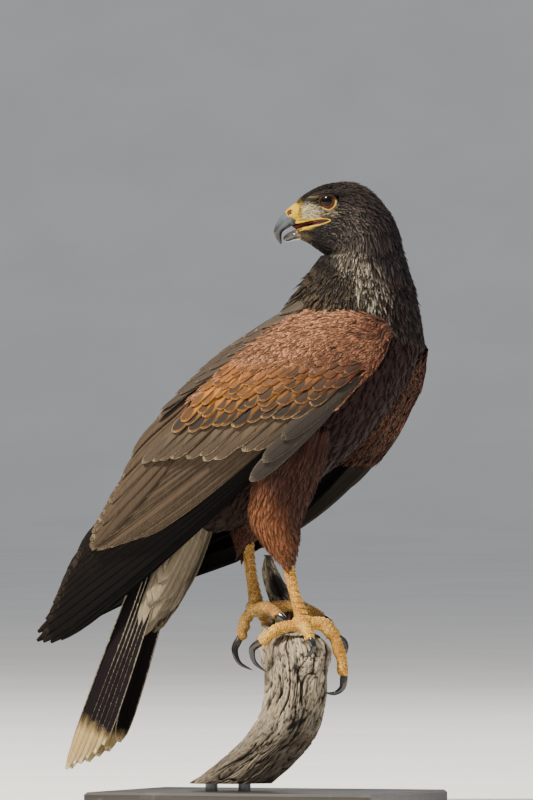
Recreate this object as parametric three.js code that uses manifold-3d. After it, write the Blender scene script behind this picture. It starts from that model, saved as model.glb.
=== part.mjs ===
// Harris's hawk, life size, gripping a short length of weathered branch on a plain display stand.
//
// Millimetres, +Z up. The origin is the centre of the stand base's underside. The bird's breast
// faces -Y and its left side is +X; its head is turned back over its right shoulder.
// Places on the bird are given as (f, l, z): forward along the bird, to its left, and up.

import * as THREE from "three";
import Module from "manifold-3d";

const wasm = await Module();
wasm.setup();

// Shared sizes
const GAP = 0.3; // air between touching pieces
const BASE_CENTRE_F = -20; // where the stand's centre lies along the bird
const RIGHT = -1;
const LEFT = 1;

// Stand
const BASE_LENGTH = 240;
const BASE_WIDTH = 180;
const BASE_THICKNESS = 12;
const BASE_CHAMFER = 2;
const ROD_RADIUS = 5;
const ROD_SPACING = 26;
const PERCH_SAWN_Z = 18; // height of the branch's sawn lower end

// Head, turned back to look over the right wing: x forward from between the eyes, y left, z up
const HEAD_PLACE = { f: 35.7, l: -8.3, z: 477 };
const HEAD_TURN = THREE.MathUtils.degToRad(-160);
const EYE_RADIUS = 8.4;
const EYE_SPREAD = 10.3;
const LID_RING_RADIUS = 7.2;
const LID_THICKNESS = 0.95;
const LID_STEPS = 14;
const FACE_X = 27; // where the bill leaves the face
const BODY_SIDES = 18;

// Legs
const LOCKS = 8;
const LEG_SIDES = 9;
const TARSUS_RADIUS = 5;
const SCUTE_STEP = 0.5; // how far each plate on the front of the leg overhangs the next
const CLAW_SIDES = 6;
const VANE_THICKNESS = 0.5;
const TOE_SIDES = 7;

// Small maths

// A smooth graph through [x, y] points, level beyond both ends.
function graph(points) {
  const last = points.length - 1;
  const slopes = points.map((_, i) => {
    const [x0, y0] = points[Math.max(i - 1, 0)];
    const [x1, y1] = points[Math.min(i + 1, last)];
    return (y1 - y0) / (x1 - x0);
  });
  return (x) => {
    if (x <= points[0][0]) return points[0][1];
    if (x >= points[last][0]) return points[last][1];
    const i = points.findIndex((_, k) => x < points[k + 1][0]);
    const [x0, y0] = points[i];
    const [x1, y1] = points[i + 1];
    const span = x1 - x0;
    const t = (x - x0) / span;
    const rise = y1 - y0;
    const bend = (slopes[i] * span - rise) * (1 - t) - (slopes[i + 1] * span - rise) * t;
    return y0 + rise * t + t * (1 - t) * bend;
  };
}

const lerp = THREE.MathUtils.lerp;

function range(count) {
  return Array.from({ length: count }, (_, i) => i);
}

// Frames

function bird(f, l, z) {
  return new THREE.Vector3(l, BASE_CENTRE_F - f, z);
}

function head(x, y, z) {
  const cos = Math.cos(HEAD_TURN);
  const sin = Math.sin(HEAD_TURN);
  return bird(HEAD_PLACE.f + x * cos - y * sin, HEAD_PLACE.l + x * sin + y * cos, HEAD_PLACE.z + z);
}

// Solids

function solid(points, triangles) {
  const vertProperties = new Float32Array(points.flatMap((p) => [p.x, p.y, p.z]));
  let volume = 0;
  for (const [a, b, c] of triangles) {
    volume += points[a].dot(new THREE.Vector3().crossVectors(points[b], points[c]));
  }
  const facing = volume < 0 ? triangles.map(([a, b, c]) => [a, c, b]) : triangles;
  const triVerts = new Uint32Array(facing.flat());
  return new wasm.Manifold(new wasm.Mesh({ numProp: 3, vertProperties, triVerts }));
}

// A closed skin over a row of rings that all have the same number of points.
function loft(rings) {
  const sides = rings[0].length;
  const points = rings.flat();
  const triangles = [];
  for (let i = 0; i + 1 < rings.length; i++) {
    for (let j = 0; j < sides; j++) {
      const k = (j + 1) % sides;
      const [a, b, c, d] = [i * sides + j, i * sides + k, (i + 1) * sides + k, (i + 1) * sides + j];
      triangles.push([a, b, c], [a, c, d]);
    }
  }
  for (const [ring, flip] of [[0, true], [rings.length - 1, false]]) {
    const centre = new THREE.Vector3();
    for (const p of rings[ring]) centre.add(p);
    points.push(centre.divideScalar(sides));
    for (let j = 0; j < sides; j++) {
      const pair = [ring * sides + j, ring * sides + ((j + 1) % sides)];
      if (flip) pair.reverse();
      triangles.push([points.length - 1, ...pair]);
    }
  }
  return solid(points, triangles);
}

// An egg-shaped ring through a back point and a belly point, half as wide as given each side.
// Fullness above 0 moves the widest place toward the back.
function bodyRing(place, [backX, backZ], [bellyX, bellyZ], halfWidth, fullness = 0, grow = 0) {
  const depth = Math.hypot(backX - bellyX, backZ - bellyZ);
  const stretch = 1 + (2 * grow) / depth;
  const [midX, midZ] = [(backX + bellyX) / 2, (backZ + bellyZ) / 2];
  const [toX, toZ] = [((backX - bellyX) / 2) * stretch, ((backZ - bellyZ) / 2) * stretch];
  return range(BODY_SIDES).map((i) => {
    const angle = (i / BODY_SIDES) * 2 * Math.PI;
    const along = Math.cos(angle);
    const across = Math.sin(angle) * (halfWidth + grow) * (1 + fullness * along);
    return place(midX + toX * along, across, midZ + toZ * along);
  });
}

// A tube with flattened or round rings along a smooth curve.
// radii(t) gives [half-width, half-height] along the frame's side and up.
function tube(points, radii, { sides, steps, up = new THREE.Vector3(0, 0, 1), bump = () => 1 }) {
  const curve = new THREE.CatmullRomCurve3(points, false, "centripetal");
  return loft(
    range(steps + 1).map((i) => {
      const t = i / steps;
      const centre = curve.getPoint(t);
      const ahead = curve.getTangent(t);
      const side = new THREE.Vector3().crossVectors(ahead, up).normalize();
      const top = new THREE.Vector3().crossVectors(side, ahead);
      const [wide, high] = radii(t);
      return range(sides).map((j) => {
        const angle = ((j + 0.5) / sides) * 2 * Math.PI;
        const swell = bump(t, angle);
        return centre
          .clone()
          .addScaledVector(side, Math.cos(angle) * wide * swell)
          .addScaledVector(top, Math.sin(angle) * high * swell);
      });
    }),
  );
}

function fromGeometry(geometry) {
  const flat = geometry.toNonIndexed().getAttribute("position");
  const seen = new Map();
  const points = [];
  const corners = range(flat.count).map((i) => {
    const p = new THREE.Vector3().fromBufferAttribute(flat, i);
    const key = [p.x, p.y, p.z].map((v) => v.toFixed(4)).join(" ");
    if (!seen.has(key)) seen.set(key, points.push(p) - 1);
    return seen.get(key);
  });
  const triangles = range(flat.count / 3).map((i) => corners.slice(3 * i, 3 * i + 3));
  return solid(points, triangles.filter(([a, b, c]) => a !== b && b !== c && c !== a));
}

function ball(centre, radius, [sx, sy, sz] = [1, 1, 1], turn = 0, steps = 14) {
  const geometry = new THREE.SphereGeometry(radius, steps, Math.round(steps * 0.7));
  geometry.scale(sx, sy, sz).rotateZ(turn).translate(centre.x, centre.y, centre.z);
  return fromGeometry(geometry);
}

function join(solids) {
  return solids.reduce((a, b) => a.add(b));
}

// Materials

function material(color, roughness, metalness = 0) {
  return new THREE.MeshStandardMaterial({ color, roughness, metalness });
}

const plumageBrown = material(0x2e221c, 0.85);
const plumageWing = material(0x6b4428, 0.8);
const plumageTail = material(0x1d1715, 0.75);
const plumageThigh = material(0x70341c, 0.85);
const hornDark = material(0x39414c, 0.35);
const cereYellow = material(0xe2b23a, 0.5);
const legYellow = material(0xd9a04a, 0.55);
const clawBlack = material(0x17181c, 0.3);
const irisBrown = material(0x4a2212, 0.1);
const wood = material(0x7d756c, 0.9);
const standPaint = material(0x2b2c2e, 0.5);

const hawk = new THREE.Group();

// Adds a solid's largest closed surface as a named mesh.
function piece(name, shape, finish) {
  const parts = shape.decompose().sort((a, b) => b.volume() - a.volume());
  const { numProp, vertProperties, triVerts } = parts[0].getMesh();
  const positions = new Float32Array((vertProperties.length / numProp) * 3);
  for (let i = 0; i < positions.length / 3; i++) {
    positions.set(vertProperties.subarray(i * numProp, i * numProp + 3), 3 * i);
  }
  const geometry = new THREE.BufferGeometry();
  geometry.setAttribute("position", new THREE.BufferAttribute(positions, 3));
  geometry.setIndex(new THREE.BufferAttribute(new Uint32Array(triVerts), 1));
  geometry.computeVertexNormals();
  const mesh = new THREE.Mesh(geometry, finish);
  mesh.name = name;
  hawk.add(mesh);
  return parts[0];
}

// Torso and neck: back point, belly point, half-width and fullness from rump to throat
const TORSO = [
  { back: [-101, 246], belly: [-81, 222], half: 12, full: 0 },
  { back: [-100, 264], belly: [-64, 216], half: 23, full: 0 },
  { back: [-86, 292], belly: [-32, 224], half: 35, full: 0 },
  { back: [-63, 326], belly: [6, 246], half: 44, full: 0.04 },
  { back: [-38, 356], belly: [44, 274], half: 49, full: 0.06 },
  { back: [-14, 380], belly: [74, 303], half: 51, full: 0.06 },
  { back: [-1, 396], belly: [95, 332], half: 51, full: 0.06 },
  { back: [9, 409], belly: [107, 362], half: 48, full: 0.04 },
];
const NECK = [
  { back: [9, 409], belly: [107, 362], half: 48, full: 0.04 },
  { back: [16, 418], belly: [105, 388], half: 43, full: 0 },
  { back: [22.5, 426], belly: [100.5, 411], half: 37.5, full: 0 },
];
const COLLAR = { f: 61, l: 0.6, z: 434, radius: 32.6 };

function torsoSolid(grow) {
  const rings = TORSO.map((s) => bodyRing(bird, s.back, s.belly, s.half, s.full, grow));
  return loft(rings);
}

// The level ring where neck and head meet, begun at the back of the neck or of the head.
function collarRing(place, [x, y], z) {
  return range(BODY_SIDES).map((i) => {
    const angle = (i / BODY_SIDES) * 2 * Math.PI;
    return place(x - COLLAR.radius * Math.cos(angle), y + COLLAR.radius * Math.sin(angle), z);
  });
}

function neckSolid(grow) {
  const rings = NECK.map((s) => bodyRing(bird, s.back, s.belly, s.half, s.full, grow));
  const [back, side, belly] = [0, BODY_SIDES / 4, BODY_SIDES / 2].map((i) => rings[0][Math.floor(i)]);
  const normal = new THREE.Plane().setFromCoplanarPoints(back, side, belly).normal;
  if (normal.z < 0) normal.negate();
  rings[0].forEach((p) => p.addScaledVector(normal, GAP));
  rings.push(collarRing(bird, [COLLAR.f, COLLAR.l], COLLAR.z - GAP));
  return loft(rings);
}

// Head: crown point, throat point and half-width from face to neck, in the head's own frame
const SKULL = [
  { back: [FACE_X, -1.6], belly: [FACE_X - 1, -28.8], half: 8.8, full: -0.06 },
  { back: [22.7, 3.2], belly: [21.5, -30], half: 11.6, full: -0.05 },
  { back: [16.5, 8], belly: [15.5, -32.8], half: 13.8, full: -0.02 },
  { back: [9, 12.4], belly: [10.5, -36.4], half: 15.4, full: 0 },
  { back: [0.5, 15.2], belly: [6.8, -39], half: 17, full: 0.02 },
  { back: [-10, 16.6], belly: [5, -40.2], half: 19.2, full: 0.04 },
  { back: [-22, 15.2], belly: [3.6, -40.9], half: 21.6, full: 0.06 },
  { back: [-34, 8.2], belly: [2.4, -41.3], half: 23.4, full: 0.08 },
  { back: [-44, -4.6], belly: [1, -41.6], half: 25.6, full: 0.08 },
  { back: [-51.6, -17], belly: [-0.4, -41.9], half: 27.6, full: 0.04 },
];
const MOUTH = [
  [FACE_X + 4, -17.4],
  [22.7, -16.8],
  [15.4, -14.6],
  [6.3, -13.8],
  [0, -14.5],
  [9.1, -16.9],
  [18.1, -19.2],
  [24.5, -21],
  [FACE_X + 4, -22.6],
];
const MOUTH_HALF_WIDTH = 24;

function mouthSolid() {
  const rings = [-MOUTH_HALF_WIDTH, MOUTH_HALF_WIDTH].map((y) => MOUTH.map(([x, z]) => head(x, y, z)));
  const points = rings.flat();
  const count = MOUTH.length;
  const outline = MOUTH.map(([x, z]) => new THREE.Vector2(x, z));
  const caps = THREE.ShapeUtils.triangulateShape(outline, []);
  const triangles = caps.map(([a, b, c]) => [a, b, c]);
  triangles.push(...caps.map(([a, b, c]) => [a + count, c + count, b + count]));
  const turn = THREE.ShapeUtils.isClockWise(outline) ? 1 : -1;
  for (let i = 0; i < count; i++) {
    const k = (i + 1) % count;
    const [a, b, c, d] = [i, k, k + count, i + count];
    if (turn > 0) triangles.push([a, b, c], [a, c, d]);
    else triangles.push([a, c, b], [a, d, c]);
  }
  return solid(points, triangles);
}

function eyeCentre(side, spread = EYE_SPREAD) {
  return head(0, side * spread, 0);
}

function lidRing(side) {
  const around = range(LID_STEPS).map((i) => {
    const angle = (i / LID_STEPS) * 2 * Math.PI;
    return { x: Math.cos(angle), z: Math.sin(angle) };
  });
  const rings = around.map(({ x, z }) =>
    range(5).map((j) => {
      const angle = (j / 5) * 2 * Math.PI;
      const out = LID_RING_RADIUS + LID_THICKNESS * Math.cos(angle);
      return head(x * out, side * (EYE_SPREAD + 4.5 + LID_THICKNESS * Math.sin(angle)), z * out);
    }),
  );
  return ringLoop(rings);
}

// A closed ring of sections, such as a lid.
function ringLoop(rings) {
  const sides = rings[0].length;
  const points = rings.flat();
  const triangles = [];
  for (let i = 0; i < rings.length; i++) {
    const n = (i + 1) % rings.length;
    for (let j = 0; j < sides; j++) {
      const k = (j + 1) % sides;
      const [a, b, c, d] = [i * sides + j, i * sides + k, n * sides + k, n * sides + j];
      triangles.push([a, b, c], [a, c, d]);
    }
  }
  return solid(points, triangles);
}

// The bony shelf over each eye, from the lores back past the eye.
function brow(side) {
  const line = [
    head(19, side * 9.6, 0.6),
    head(12.5, side * 12, 4),
    head(4, side * 14.6, 6.3),
    head(-4, side * 15.6, 6.8),
    head(-11, side * 15.6, 5.6),
    head(-17, side * 15.8, 4),
  ];
  return tube(line, (t) => [3.1 * Math.sin(Math.PI * (0.12 + 0.76 * t)), 1.8], { sides: 7, steps: 8 });
}

function headSolid() {
  const rings = SKULL.map((s) => bodyRing(head, s.back, s.belly, s.half, s.full));
  const offset = new THREE.Vector2(COLLAR.f - HEAD_PLACE.f, COLLAR.l - HEAD_PLACE.l);
  const centre = offset.rotateAround(new THREE.Vector2(), -HEAD_TURN);
  rings.push(collarRing(head, centre.toArray(), COLLAR.z - HEAD_PLACE.z));
  let shape = loft(rings);
  for (const side of [LEFT, RIGHT]) shape = join([shape, brow(side), lidRing(side)]);
  for (const side of [LEFT, RIGHT]) shape = shape.subtract(ball(eyeCentre(side), EYE_RADIUS + GAP));
  return shape.subtract(mouthSolid());
}

// Bill
const CERE = [
  { back: [FACE_X + GAP, -1.8], belly: [FACE_X + GAP, -16.8], half: 8.6, full: -0.1 },
  { back: [31.7, -5], belly: [27.9, -17], half: 7.9, full: -0.12 },
  { back: [34.9, -8.2], belly: [28.6, -17.3], half: 7, full: -0.12 },
];
const UPPER_BILL = [
  { back: [35.1, -8.5], belly: [28.9, -17.6], half: 6.9, full: -0.12 },
  { back: [39.2, -12.6], belly: [31, -20], half: 5.9, full: -0.12 },
  { back: [42.2, -18], belly: [34.3, -21.6], half: 4.8, full: -0.1 },
  { back: [43.6, -23.6], belly: [36.6, -24], half: 3.6, full: 0 },
  { back: [42.4, -28.6], belly: [37.4, -27.8], half: 2.3, full: 0 },
  { back: [38.4, -33.4], belly: [37.2, -32.6], half: 0.5, full: 0 },
];
const LOWER_BILL = [
  { back: [FACE_X + GAP, -22.4], belly: [FACE_X + GAP, -29], half: 7.2, full: 0 },
  { back: [32.2, -24.9], belly: [31, -30.2], half: 4.8, full: 0 },
  { back: [35.8, -27.6], belly: [34.9, -30.3], half: 2, full: 0 },
];
const NOSTRIL = { x: 30.4, y: 8.2, z: -8.6, radius: 1.5 };

function billSolid(stations) {
  return loft(stations.map((s) => bodyRing(head, s.back, s.belly, s.half, s.full)));
}

function cereSolid() {
  let shape = billSolid(CERE);
  for (const side of [LEFT, RIGHT]) {
    const place = head(NOSTRIL.x, side * NOSTRIL.y, NOSTRIL.z);
    shape = shape.subtract(ball(place, NOSTRIL.radius, [1, 1, 0.8], 0, 8));
  }
  return shape;
}

// Feathers

// One station of a feather's line: a point on it, which way is out there and how wide it is.
// A feather is a thin plate along its stations. Its lower edge stands out by the tilt, and both
// faces are split into triangles alike.
function vane(stations, toward, tilt, thickness = VANE_THICKNESS) {
  const rings = stations.map(({ point, out, half }, i) => {
    const before = stations[Math.max(i - 1, 0)].point;
    const after = stations[Math.min(i + 1, stations.length - 1)].point;
    const ahead = after.clone().sub(before).normalize();
    const side = new THREE.Vector3().crossVectors(out, ahead).normalize();
    if (side.dot(toward) < 0) side.negate();
    const up = new THREE.Vector3().crossVectors(ahead, side).normalize();
    if (up.dot(out) < 0) up.negate();
    const edge = side.clone().multiplyScalar(Math.cos(tilt)).addScaledVector(up, Math.sin(tilt));
    const face = up.multiplyScalar(Math.cos(tilt)).addScaledVector(side, -Math.sin(tilt));
    return [[1, 1], [-1, 1], [-1, -1], [1, -1]].map(([across, over]) =>
      point
        .clone()
        .addScaledVector(edge, across * half)
        .addScaledVector(face, (over * thickness) / 2),
    );
  });
  const triangles = [[0, 1, 2], [0, 2, 3]];
  const last = 4 * (rings.length - 1);
  triangles.push([last, last + 2, last + 1], [last, last + 3, last + 2]);
  for (let i = 0; i < last; i += 4) {
    const [a, b, c, d] = [i, i + 1, i + 2, i + 3];
    const [e, f, g, h] = [i + 4, i + 5, i + 6, i + 7];
    triangles.push([a, e, b], [b, e, f], [c, h, d], [c, g, h]);
    triangles.push([b, f, c], [c, f, g], [d, h, a], [a, h, e]);
  }
  return solid(rings.flat(), triangles);
}

// Half-widths along a feather, as shares of its widest: rounded, blunt and pointed ends.
const ROUNDED = [[0, 0.5], [0.5, 1], [0.84, 0.86], [1, 0.3]];
const BLUNT = [[0, 0.4], [0.2, 0.8], [0.45, 1], [0.75, 1], [0.93, 0.82], [1, 0.4]];
const POINTED = [[0, 0.4], [0.25, 0.9], [0.55, 1], [0.85, 0.62], [1, 0.14]];
const LOCK = [[0, 0.6], [0.5, 1], [0.84, 0.56], [1, 0.14]];

// Wings
// A folded wing is a curved shell beside the body. A place on it is (a, b): a runs from the
// wrist to the wing tip and b rises toward the back.
const WING_REACH = graph([[-10, 34], [5, 42], [30, 50], [70, 58], [110, 61.5], [150, 60], [170, 56.8], [370, 25.2], [390, 22]]);
const WING_CREST_B = 8;
const WING_ROUNDING = 84;
const WING_LOW = graph([[-6, 8], [16, -5], [40, -9], [79, -15], [152, -13], [197, -1]]);
const WING_HIGH = graph([[-6, 18], [4, 36], [20, 54], [45, 71], [110, 82], [193, 80]]);
const WING_TOP_B = 70;
const WING_BOTTOM_B = -15;
const CORE_DEPTH = graph([[0, 22], [100, 22], [190, 5]]);

const WINGS = {
  wing_right: { side: RIGHT, wrist: [101, 363], tip: [-204, 123], droop: graph([[0, 0], [400, 0]]) },
  wing_left: {
    side: LEFT,
    wrist: [99, 352],
    tip: [-208, 130],
    droop: graph([[0, 4], [31, 13], [67, 21], [92, 25], [131, 28], [220, 27], [254, 20], [325, 3], [380, 0]]),
  },
};

// The tips of the last row of coverts, by their height on the wing.
const LAST_ROW = { low: [138, 4], high: [222, 60] };
const lastRow = (t) => LAST_ROW.low.map((low, k) => lerp(low, LAST_ROW.high[k], t));
const lastRowAt = (b) => lastRow((b - LAST_ROW.low[1]) / (LAST_ROW.high[1] - LAST_ROW.low[1]))[0];

// How far the arm stands out, by the distance ahead of that row's tips.
const ARM_OUT = graph([[34, -1], [52, 1.4], [66, 2.4], [82, 4.2], [96, 5.2], [112, 6.6], [140, 8.4]]);

// Rows of coverts: how far ahead of the last row's tips each root and tip lies, and how far out.
const COVERT_ROWS = [
  { count: 9, root: 58, tip: 0, half: 7.2, out: [0.4, 3.8], from: 0 },
  { count: 9, root: 88, tip: 38, half: 6.8, out: [3.2, 7], from: 0.02 },
  { count: 8, root: 116, tip: 70, half: 6.6, out: [5.6, 9.2], from: 0.06 },
  { count: 7, root: 142, tip: 100, half: 6.4, out: [7.2, 11], from: 0.14 },
];
const FLIGHT = {
  // Inner flight feathers, from the back's edge down
  secondaries: {
    count: 9,
    half: 8.2,
    shape: BLUNT,
    tilt: 11,
    root: (t) => [lerp(112, 62, t), lerp(61, -5, t)],
    tip: (t) => [SECONDARY_TIPS.a(t), SECONDARY_TIPS.b(t)],
    bow: -3,
    out: (t) => () => -2.4 - 0.5 * 8 * t,
  },
  // Outer flight feathers, laid like cards under the inner ones
  primaries: {
    count: 6,
    half: 7.5,
    shape: POINTED,
    tilt: 5,
    root: (t) => [lerp(88, 64, t), lerp(4, -2, t)],
    tip: (t) => [PRIMARY_TIPS.a(t), PRIMARY_TIPS.b(t)],
    bow: -3,
    out: (t) => () => -9 - 1.25 * 5 * t,
  },
  // Long feathers of the shoulder, along the back's edge, each over the next one behind it
  scapulars: {
    count: 5,
    half: 7.5,
    shape: ROUNDED,
    tilt: 6,
    root: (t) => [lerp(116, 28, t), lerp(75, 60, t)],
    tip: (t) => [lerp(203, 110, t), lerp(82, 79, t)],
    bow: 2,
    out: () => (along) => 1 + 4.4 * along,
  },
  // Grey pointed feathers of the hand, along the leading edge
  hand_coverts: {
    count: 4,
    half: 5.6,
    shape: POINTED,
    tilt: 6,
    root: (t) => [lerp(60, 20, t), lerp(-8, -1, t)],
    tip: (t) => [lerp(152, 92, t), lerp(-9, -14, t)],
    bow: 0,
    out: (t) => (along) => 4.6 * along + 0.8 * 3 * t,
  },
};
const SECONDARY_TIPS = {
  a: graph([[0, 214], [0.3, 266], [0.6, 302], [0.75, 298], [1, 262]]),
  b: graph([[0, 73], [0.3, 54], [0.6, 36], [1, 8]]),
};
const PRIMARY_TIPS = {
  a: graph([[0, 322], [0.35, 358], [0.7, 388], [1, 356]]),
  b: graph([[0, 31], [0.35, 22], [0.7, 4], [1, -4]]),
};
const COVERT_TILT = THREE.MathUtils.degToRad(16);

function wingFrame(wing) {
  const [f0, z0] = wing.wrist;
  const [f1, z1] = wing.tip;
  const length = Math.hypot(f1 - f0, z1 - z0);
  const along = [(f1 - f0) / length, (z1 - z0) / length];
  const rise = [along[1], -along[0]];
  const surface = (a, b) => {
    const share = THREE.MathUtils.clamp((WING_TOP_B - b) / (WING_TOP_B - WING_BOTTOM_B), 0, 1);
    const lower = b - wing.droop(a) * share;
    const round = Math.sqrt(Math.max(1 - ((b - WING_CREST_B) / WING_ROUNDING) ** 2, 0.04));
    const reach = WING_REACH(a) * round;
    return bird(f0 + along[0] * a + rise[0] * lower, wing.side * reach, z0 + along[1] * a + rise[1] * lower);
  };
  const outward = (a, b) => {
    const da = surface(a + 1, b).sub(surface(a - 1, b));
    const db = surface(a, b + 1).sub(surface(a, b - 1));
    const normal = da.cross(db).normalize();
    return normal.x * wing.side < 0 ? normal.negate() : normal;
  };
  const place = (a, b, out) => surface(a, b).addScaledVector(outward(a, b), out);
  const down = bird(-rise[0], 0, -rise[1]).sub(bird(0, 0, 0));
  return { place, outward, down };
}

// A feather on a wing, from its root to its tip, with its height off the shell as a graph.
function wingFeather({ place, outward, down }, root, tip, { half, shape, bow = 0 }, outAt, tilt) {
  const stations = shape.map(([t, share]) => {
    const a = lerp(root[0], tip[0], t);
    const b = lerp(root[1], tip[1], t) + bow * Math.sin(Math.PI * t);
    return { point: place(a, b, outAt(t)), out: outward(a, b), half: half * share };
  });
  return vane(stations, down, tilt);
}

function armSolid({ place }) {
  const across = 7;
  const rings = [0, 0.05, 0.14, 0.28, 0.45, 0.62, 0.8, 1].map((r) => {
    const spots = range(across + 1).map((i) => {
      const t = i / across;
      const end = lerp(-12, 80, t);
      const a = lerp(-6, lastRowAt(end) - 36, r);
      const b = lerp(WING_LOW(a), WING_HIGH(a), t);
      return { t, a, b, ahead: lastRowAt(b) - a };
    });
    const outer = spots.map(({ t, a, b, ahead }) => {
      const swell = Math.min(1, 6 * t, 6 * (1 - t), 0.35 + 4 * r);
      return place(a, b, ARM_OUT(ahead) * (0.4 + 0.6 * swell));
    });
    const inner = spots
      .slice(1, -1)
      .reverse()
      .map(({ t, a, b }) => place(a, b, -CORE_DEPTH(a) * Math.sin(Math.PI * t) ** 0.3));
    return [...outer, ...inner];
  });
  return loft(rings);
}

function wingSolid(wing) {
  const frame = wingFrame(wing);
  const feathers = [];
  for (const row of COVERT_ROWS) {
    const rise = (along) => lerp(row.out[0], row.out[1], along);
    for (const i of range(row.count)) {
      const [a, b] = lastRow(lerp(row.from, 1, i / (row.count - 1)));
      const form = { half: row.half, shape: ROUNDED };
      feathers.push(wingFeather(frame, [a - row.root, b], [a - row.tip, b], form, rise, COVERT_TILT));
    }
  }
  for (const group of Object.values(FLIGHT)) {
    for (const i of range(group.count)) {
      const t = i / (group.count - 1);
      const tilt = THREE.MathUtils.degToRad(group.tilt);
      feathers.push(wingFeather(frame, group.root(t), group.tip(t), group, group.out(t), tilt));
    }
  }
  return join([armSolid(frame), ...feathers]);
}

// Tail: folded, each half sloping down from a ridge, with the middle feathers on top
const TAIL_ROOT = [-104, 250];
const TAIL_TIP = [-193, 30];
const TAIL_PITCH = THREE.MathUtils.degToRad(48);
const TAIL_TWIST = THREE.MathUtils.degToRad(4);
const TAIL_FEATHERS = {
  perSide: 6,
  half: 6.3,
  rootQ: (i) => 6.3 + 1.2 * i,
  tipQ: (i) => 7.6 + 6 * i,
  tipS: (i) => 236 - 3.4 * i - 0.5 * i * i,
  out: (i) => -0.85 * i,
};
const TAIL_STUB = [
  { s: 2, q: 14, top: 1, under: -18 },
  { s: 24, q: 17, top: 1, under: -24 },
  { s: 44, q: 17, top: 0.8, under: -25 },
  { s: 57, q: 15.5, top: -0.4, under: -18 },
];
const UPPER_COVERTS = { perSide: 3, half: 6, rootS: 12, tipS: 84, out: 4.8, stack: 1.6 };
const VENT = {
  line: [[-70, 236], [-88, 206], [-102, 176], [-107, 164]],
  wide: graph([[0, 19], [0.5, 17], [1, 9]]),
  deep: graph([[0, 9], [0.5, 16], [1, 8]]),
  feathers: {
    front: [0.927, -0.375],
    reach: 82,
    tilt: 16,
    half: 6.8,
    rows: [
      { count: 5, root: [-84, 206], tip: [-116, 142], across: [12, 16], deep: [7, 12] },
      { count: 4, root: [-78, 220], tip: [-103, 168], across: [14, 20], deep: [8, 15] },
    ],
  },
};

// A place by the tail: s down its length, across from the ridge and deep to the back.
function tailPoint(s, across, deep) {
  const down = [TAIL_TIP[0] - TAIL_ROOT[0], TAIL_TIP[1] - TAIL_ROOT[1]];
  const length = Math.hypot(...down);
  const [df, dz] = [down[0] / length, down[1] / length];
  const [nf, nz] = [dz, -df];
  const l = across * Math.cos(TAIL_TWIST) - deep * Math.sin(TAIL_TWIST);
  const n = across * Math.sin(TAIL_TWIST) + deep * Math.cos(TAIL_TWIST);
  return bird(TAIL_ROOT[0] + df * s + nf * n, l, TAIL_ROOT[1] + dz * s + nz * n);
}

// A place on the tail's slopes: q out from the ridge along one slope, out from it.
function tailPlace(side, s, q, out) {
  const across = side * (q * Math.cos(TAIL_PITCH) + out * Math.sin(TAIL_PITCH));
  return tailPoint(s, across, -q * Math.sin(TAIL_PITCH) + out * Math.cos(TAIL_PITCH));
}

function tailFeather(side, root, tip, { half, shape }, outAt) {
  const outward = tailPlace(side, 0, 0, 1).sub(tailPlace(side, 0, 0, 0));
  const toward = tailPlace(side, 0, 1, 0).sub(tailPlace(side, 0, 0, 0));
  const stations = shape.map(([t, share]) => ({
    point: tailPlace(side, lerp(root[0], tip[0], t), lerp(root[1], tip[1], t), outAt(t)),
    out: outward,
    half: half * share,
  }));
  return vane(stations, toward, 0);
}

function tailStub() {
  const rings = TAIL_STUB.map(({ s, q, top, under }) => [
    tailPlace(RIGHT, s, q, top),
    tailPlace(RIGHT, s, q / 2, top),
    tailPlace(RIGHT, s, 0, top),
    tailPlace(LEFT, s, q / 2, top),
    tailPlace(LEFT, s, q, top),
    tailPoint(s, LEFT * q * 0.55, under * 0.94),
    tailPoint(s, 0, under),
    tailPoint(s, RIGHT * q * 0.55, under * 0.94),
  ]);
  return loft(rings);
}

// The soft white feathers under the tail's root.
function ventSolid() {
  const line = VENT.line.map(([f, z]) => bird(f, 0, z));
  const radii = (t) => [VENT.wide(t), VENT.deep(t)];
  const back = bird(0.9, 0, 0.4).sub(bird(0, 0, 0));
  return join([tube(line, radii, { sides: 10, steps: 6, up: back }), ...ventFeathers()]);
}

// Rows of long feathers round the underside, from one side to the other.
function ventFeathers() {
  const { front, reach, tilt, half, rows } = VENT.feathers;
  const forward = bird(front[0], 0, front[1]).sub(bird(0, 0, 0));
  const leftward = bird(0, 1, 0).sub(bird(0, 0, 0));
  return rows.flatMap(({ count, root, tip, across, deep }) =>
    range(count).map((i) => {
      const angle = THREE.MathUtils.degToRad(lerp(-reach, reach, i / (count - 1)));
      const along = (direction, lead) => direction.clone().multiplyScalar(lead);
      const out = along(leftward, Math.sin(angle)).add(along(forward, Math.cos(angle)));
      const toward = along(leftward, Math.cos(angle)).sub(along(forward, Math.sin(angle)));
      const stations = ROUNDED.map(([t, share]) => ({
        point: bird(lerp(root[0], tip[0], t), 0, lerp(root[1], tip[1], t))
          .addScaledVector(leftward, lerp(across[0], across[1], t) * Math.sin(angle))
          .addScaledVector(forward, lerp(deep[0], deep[1], t) * Math.cos(angle)),
        out,
        half: half * share,
      }));
      return vane(stations, toward, THREE.MathUtils.degToRad(tilt), 0.6);
    }),
  );
}

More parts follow.
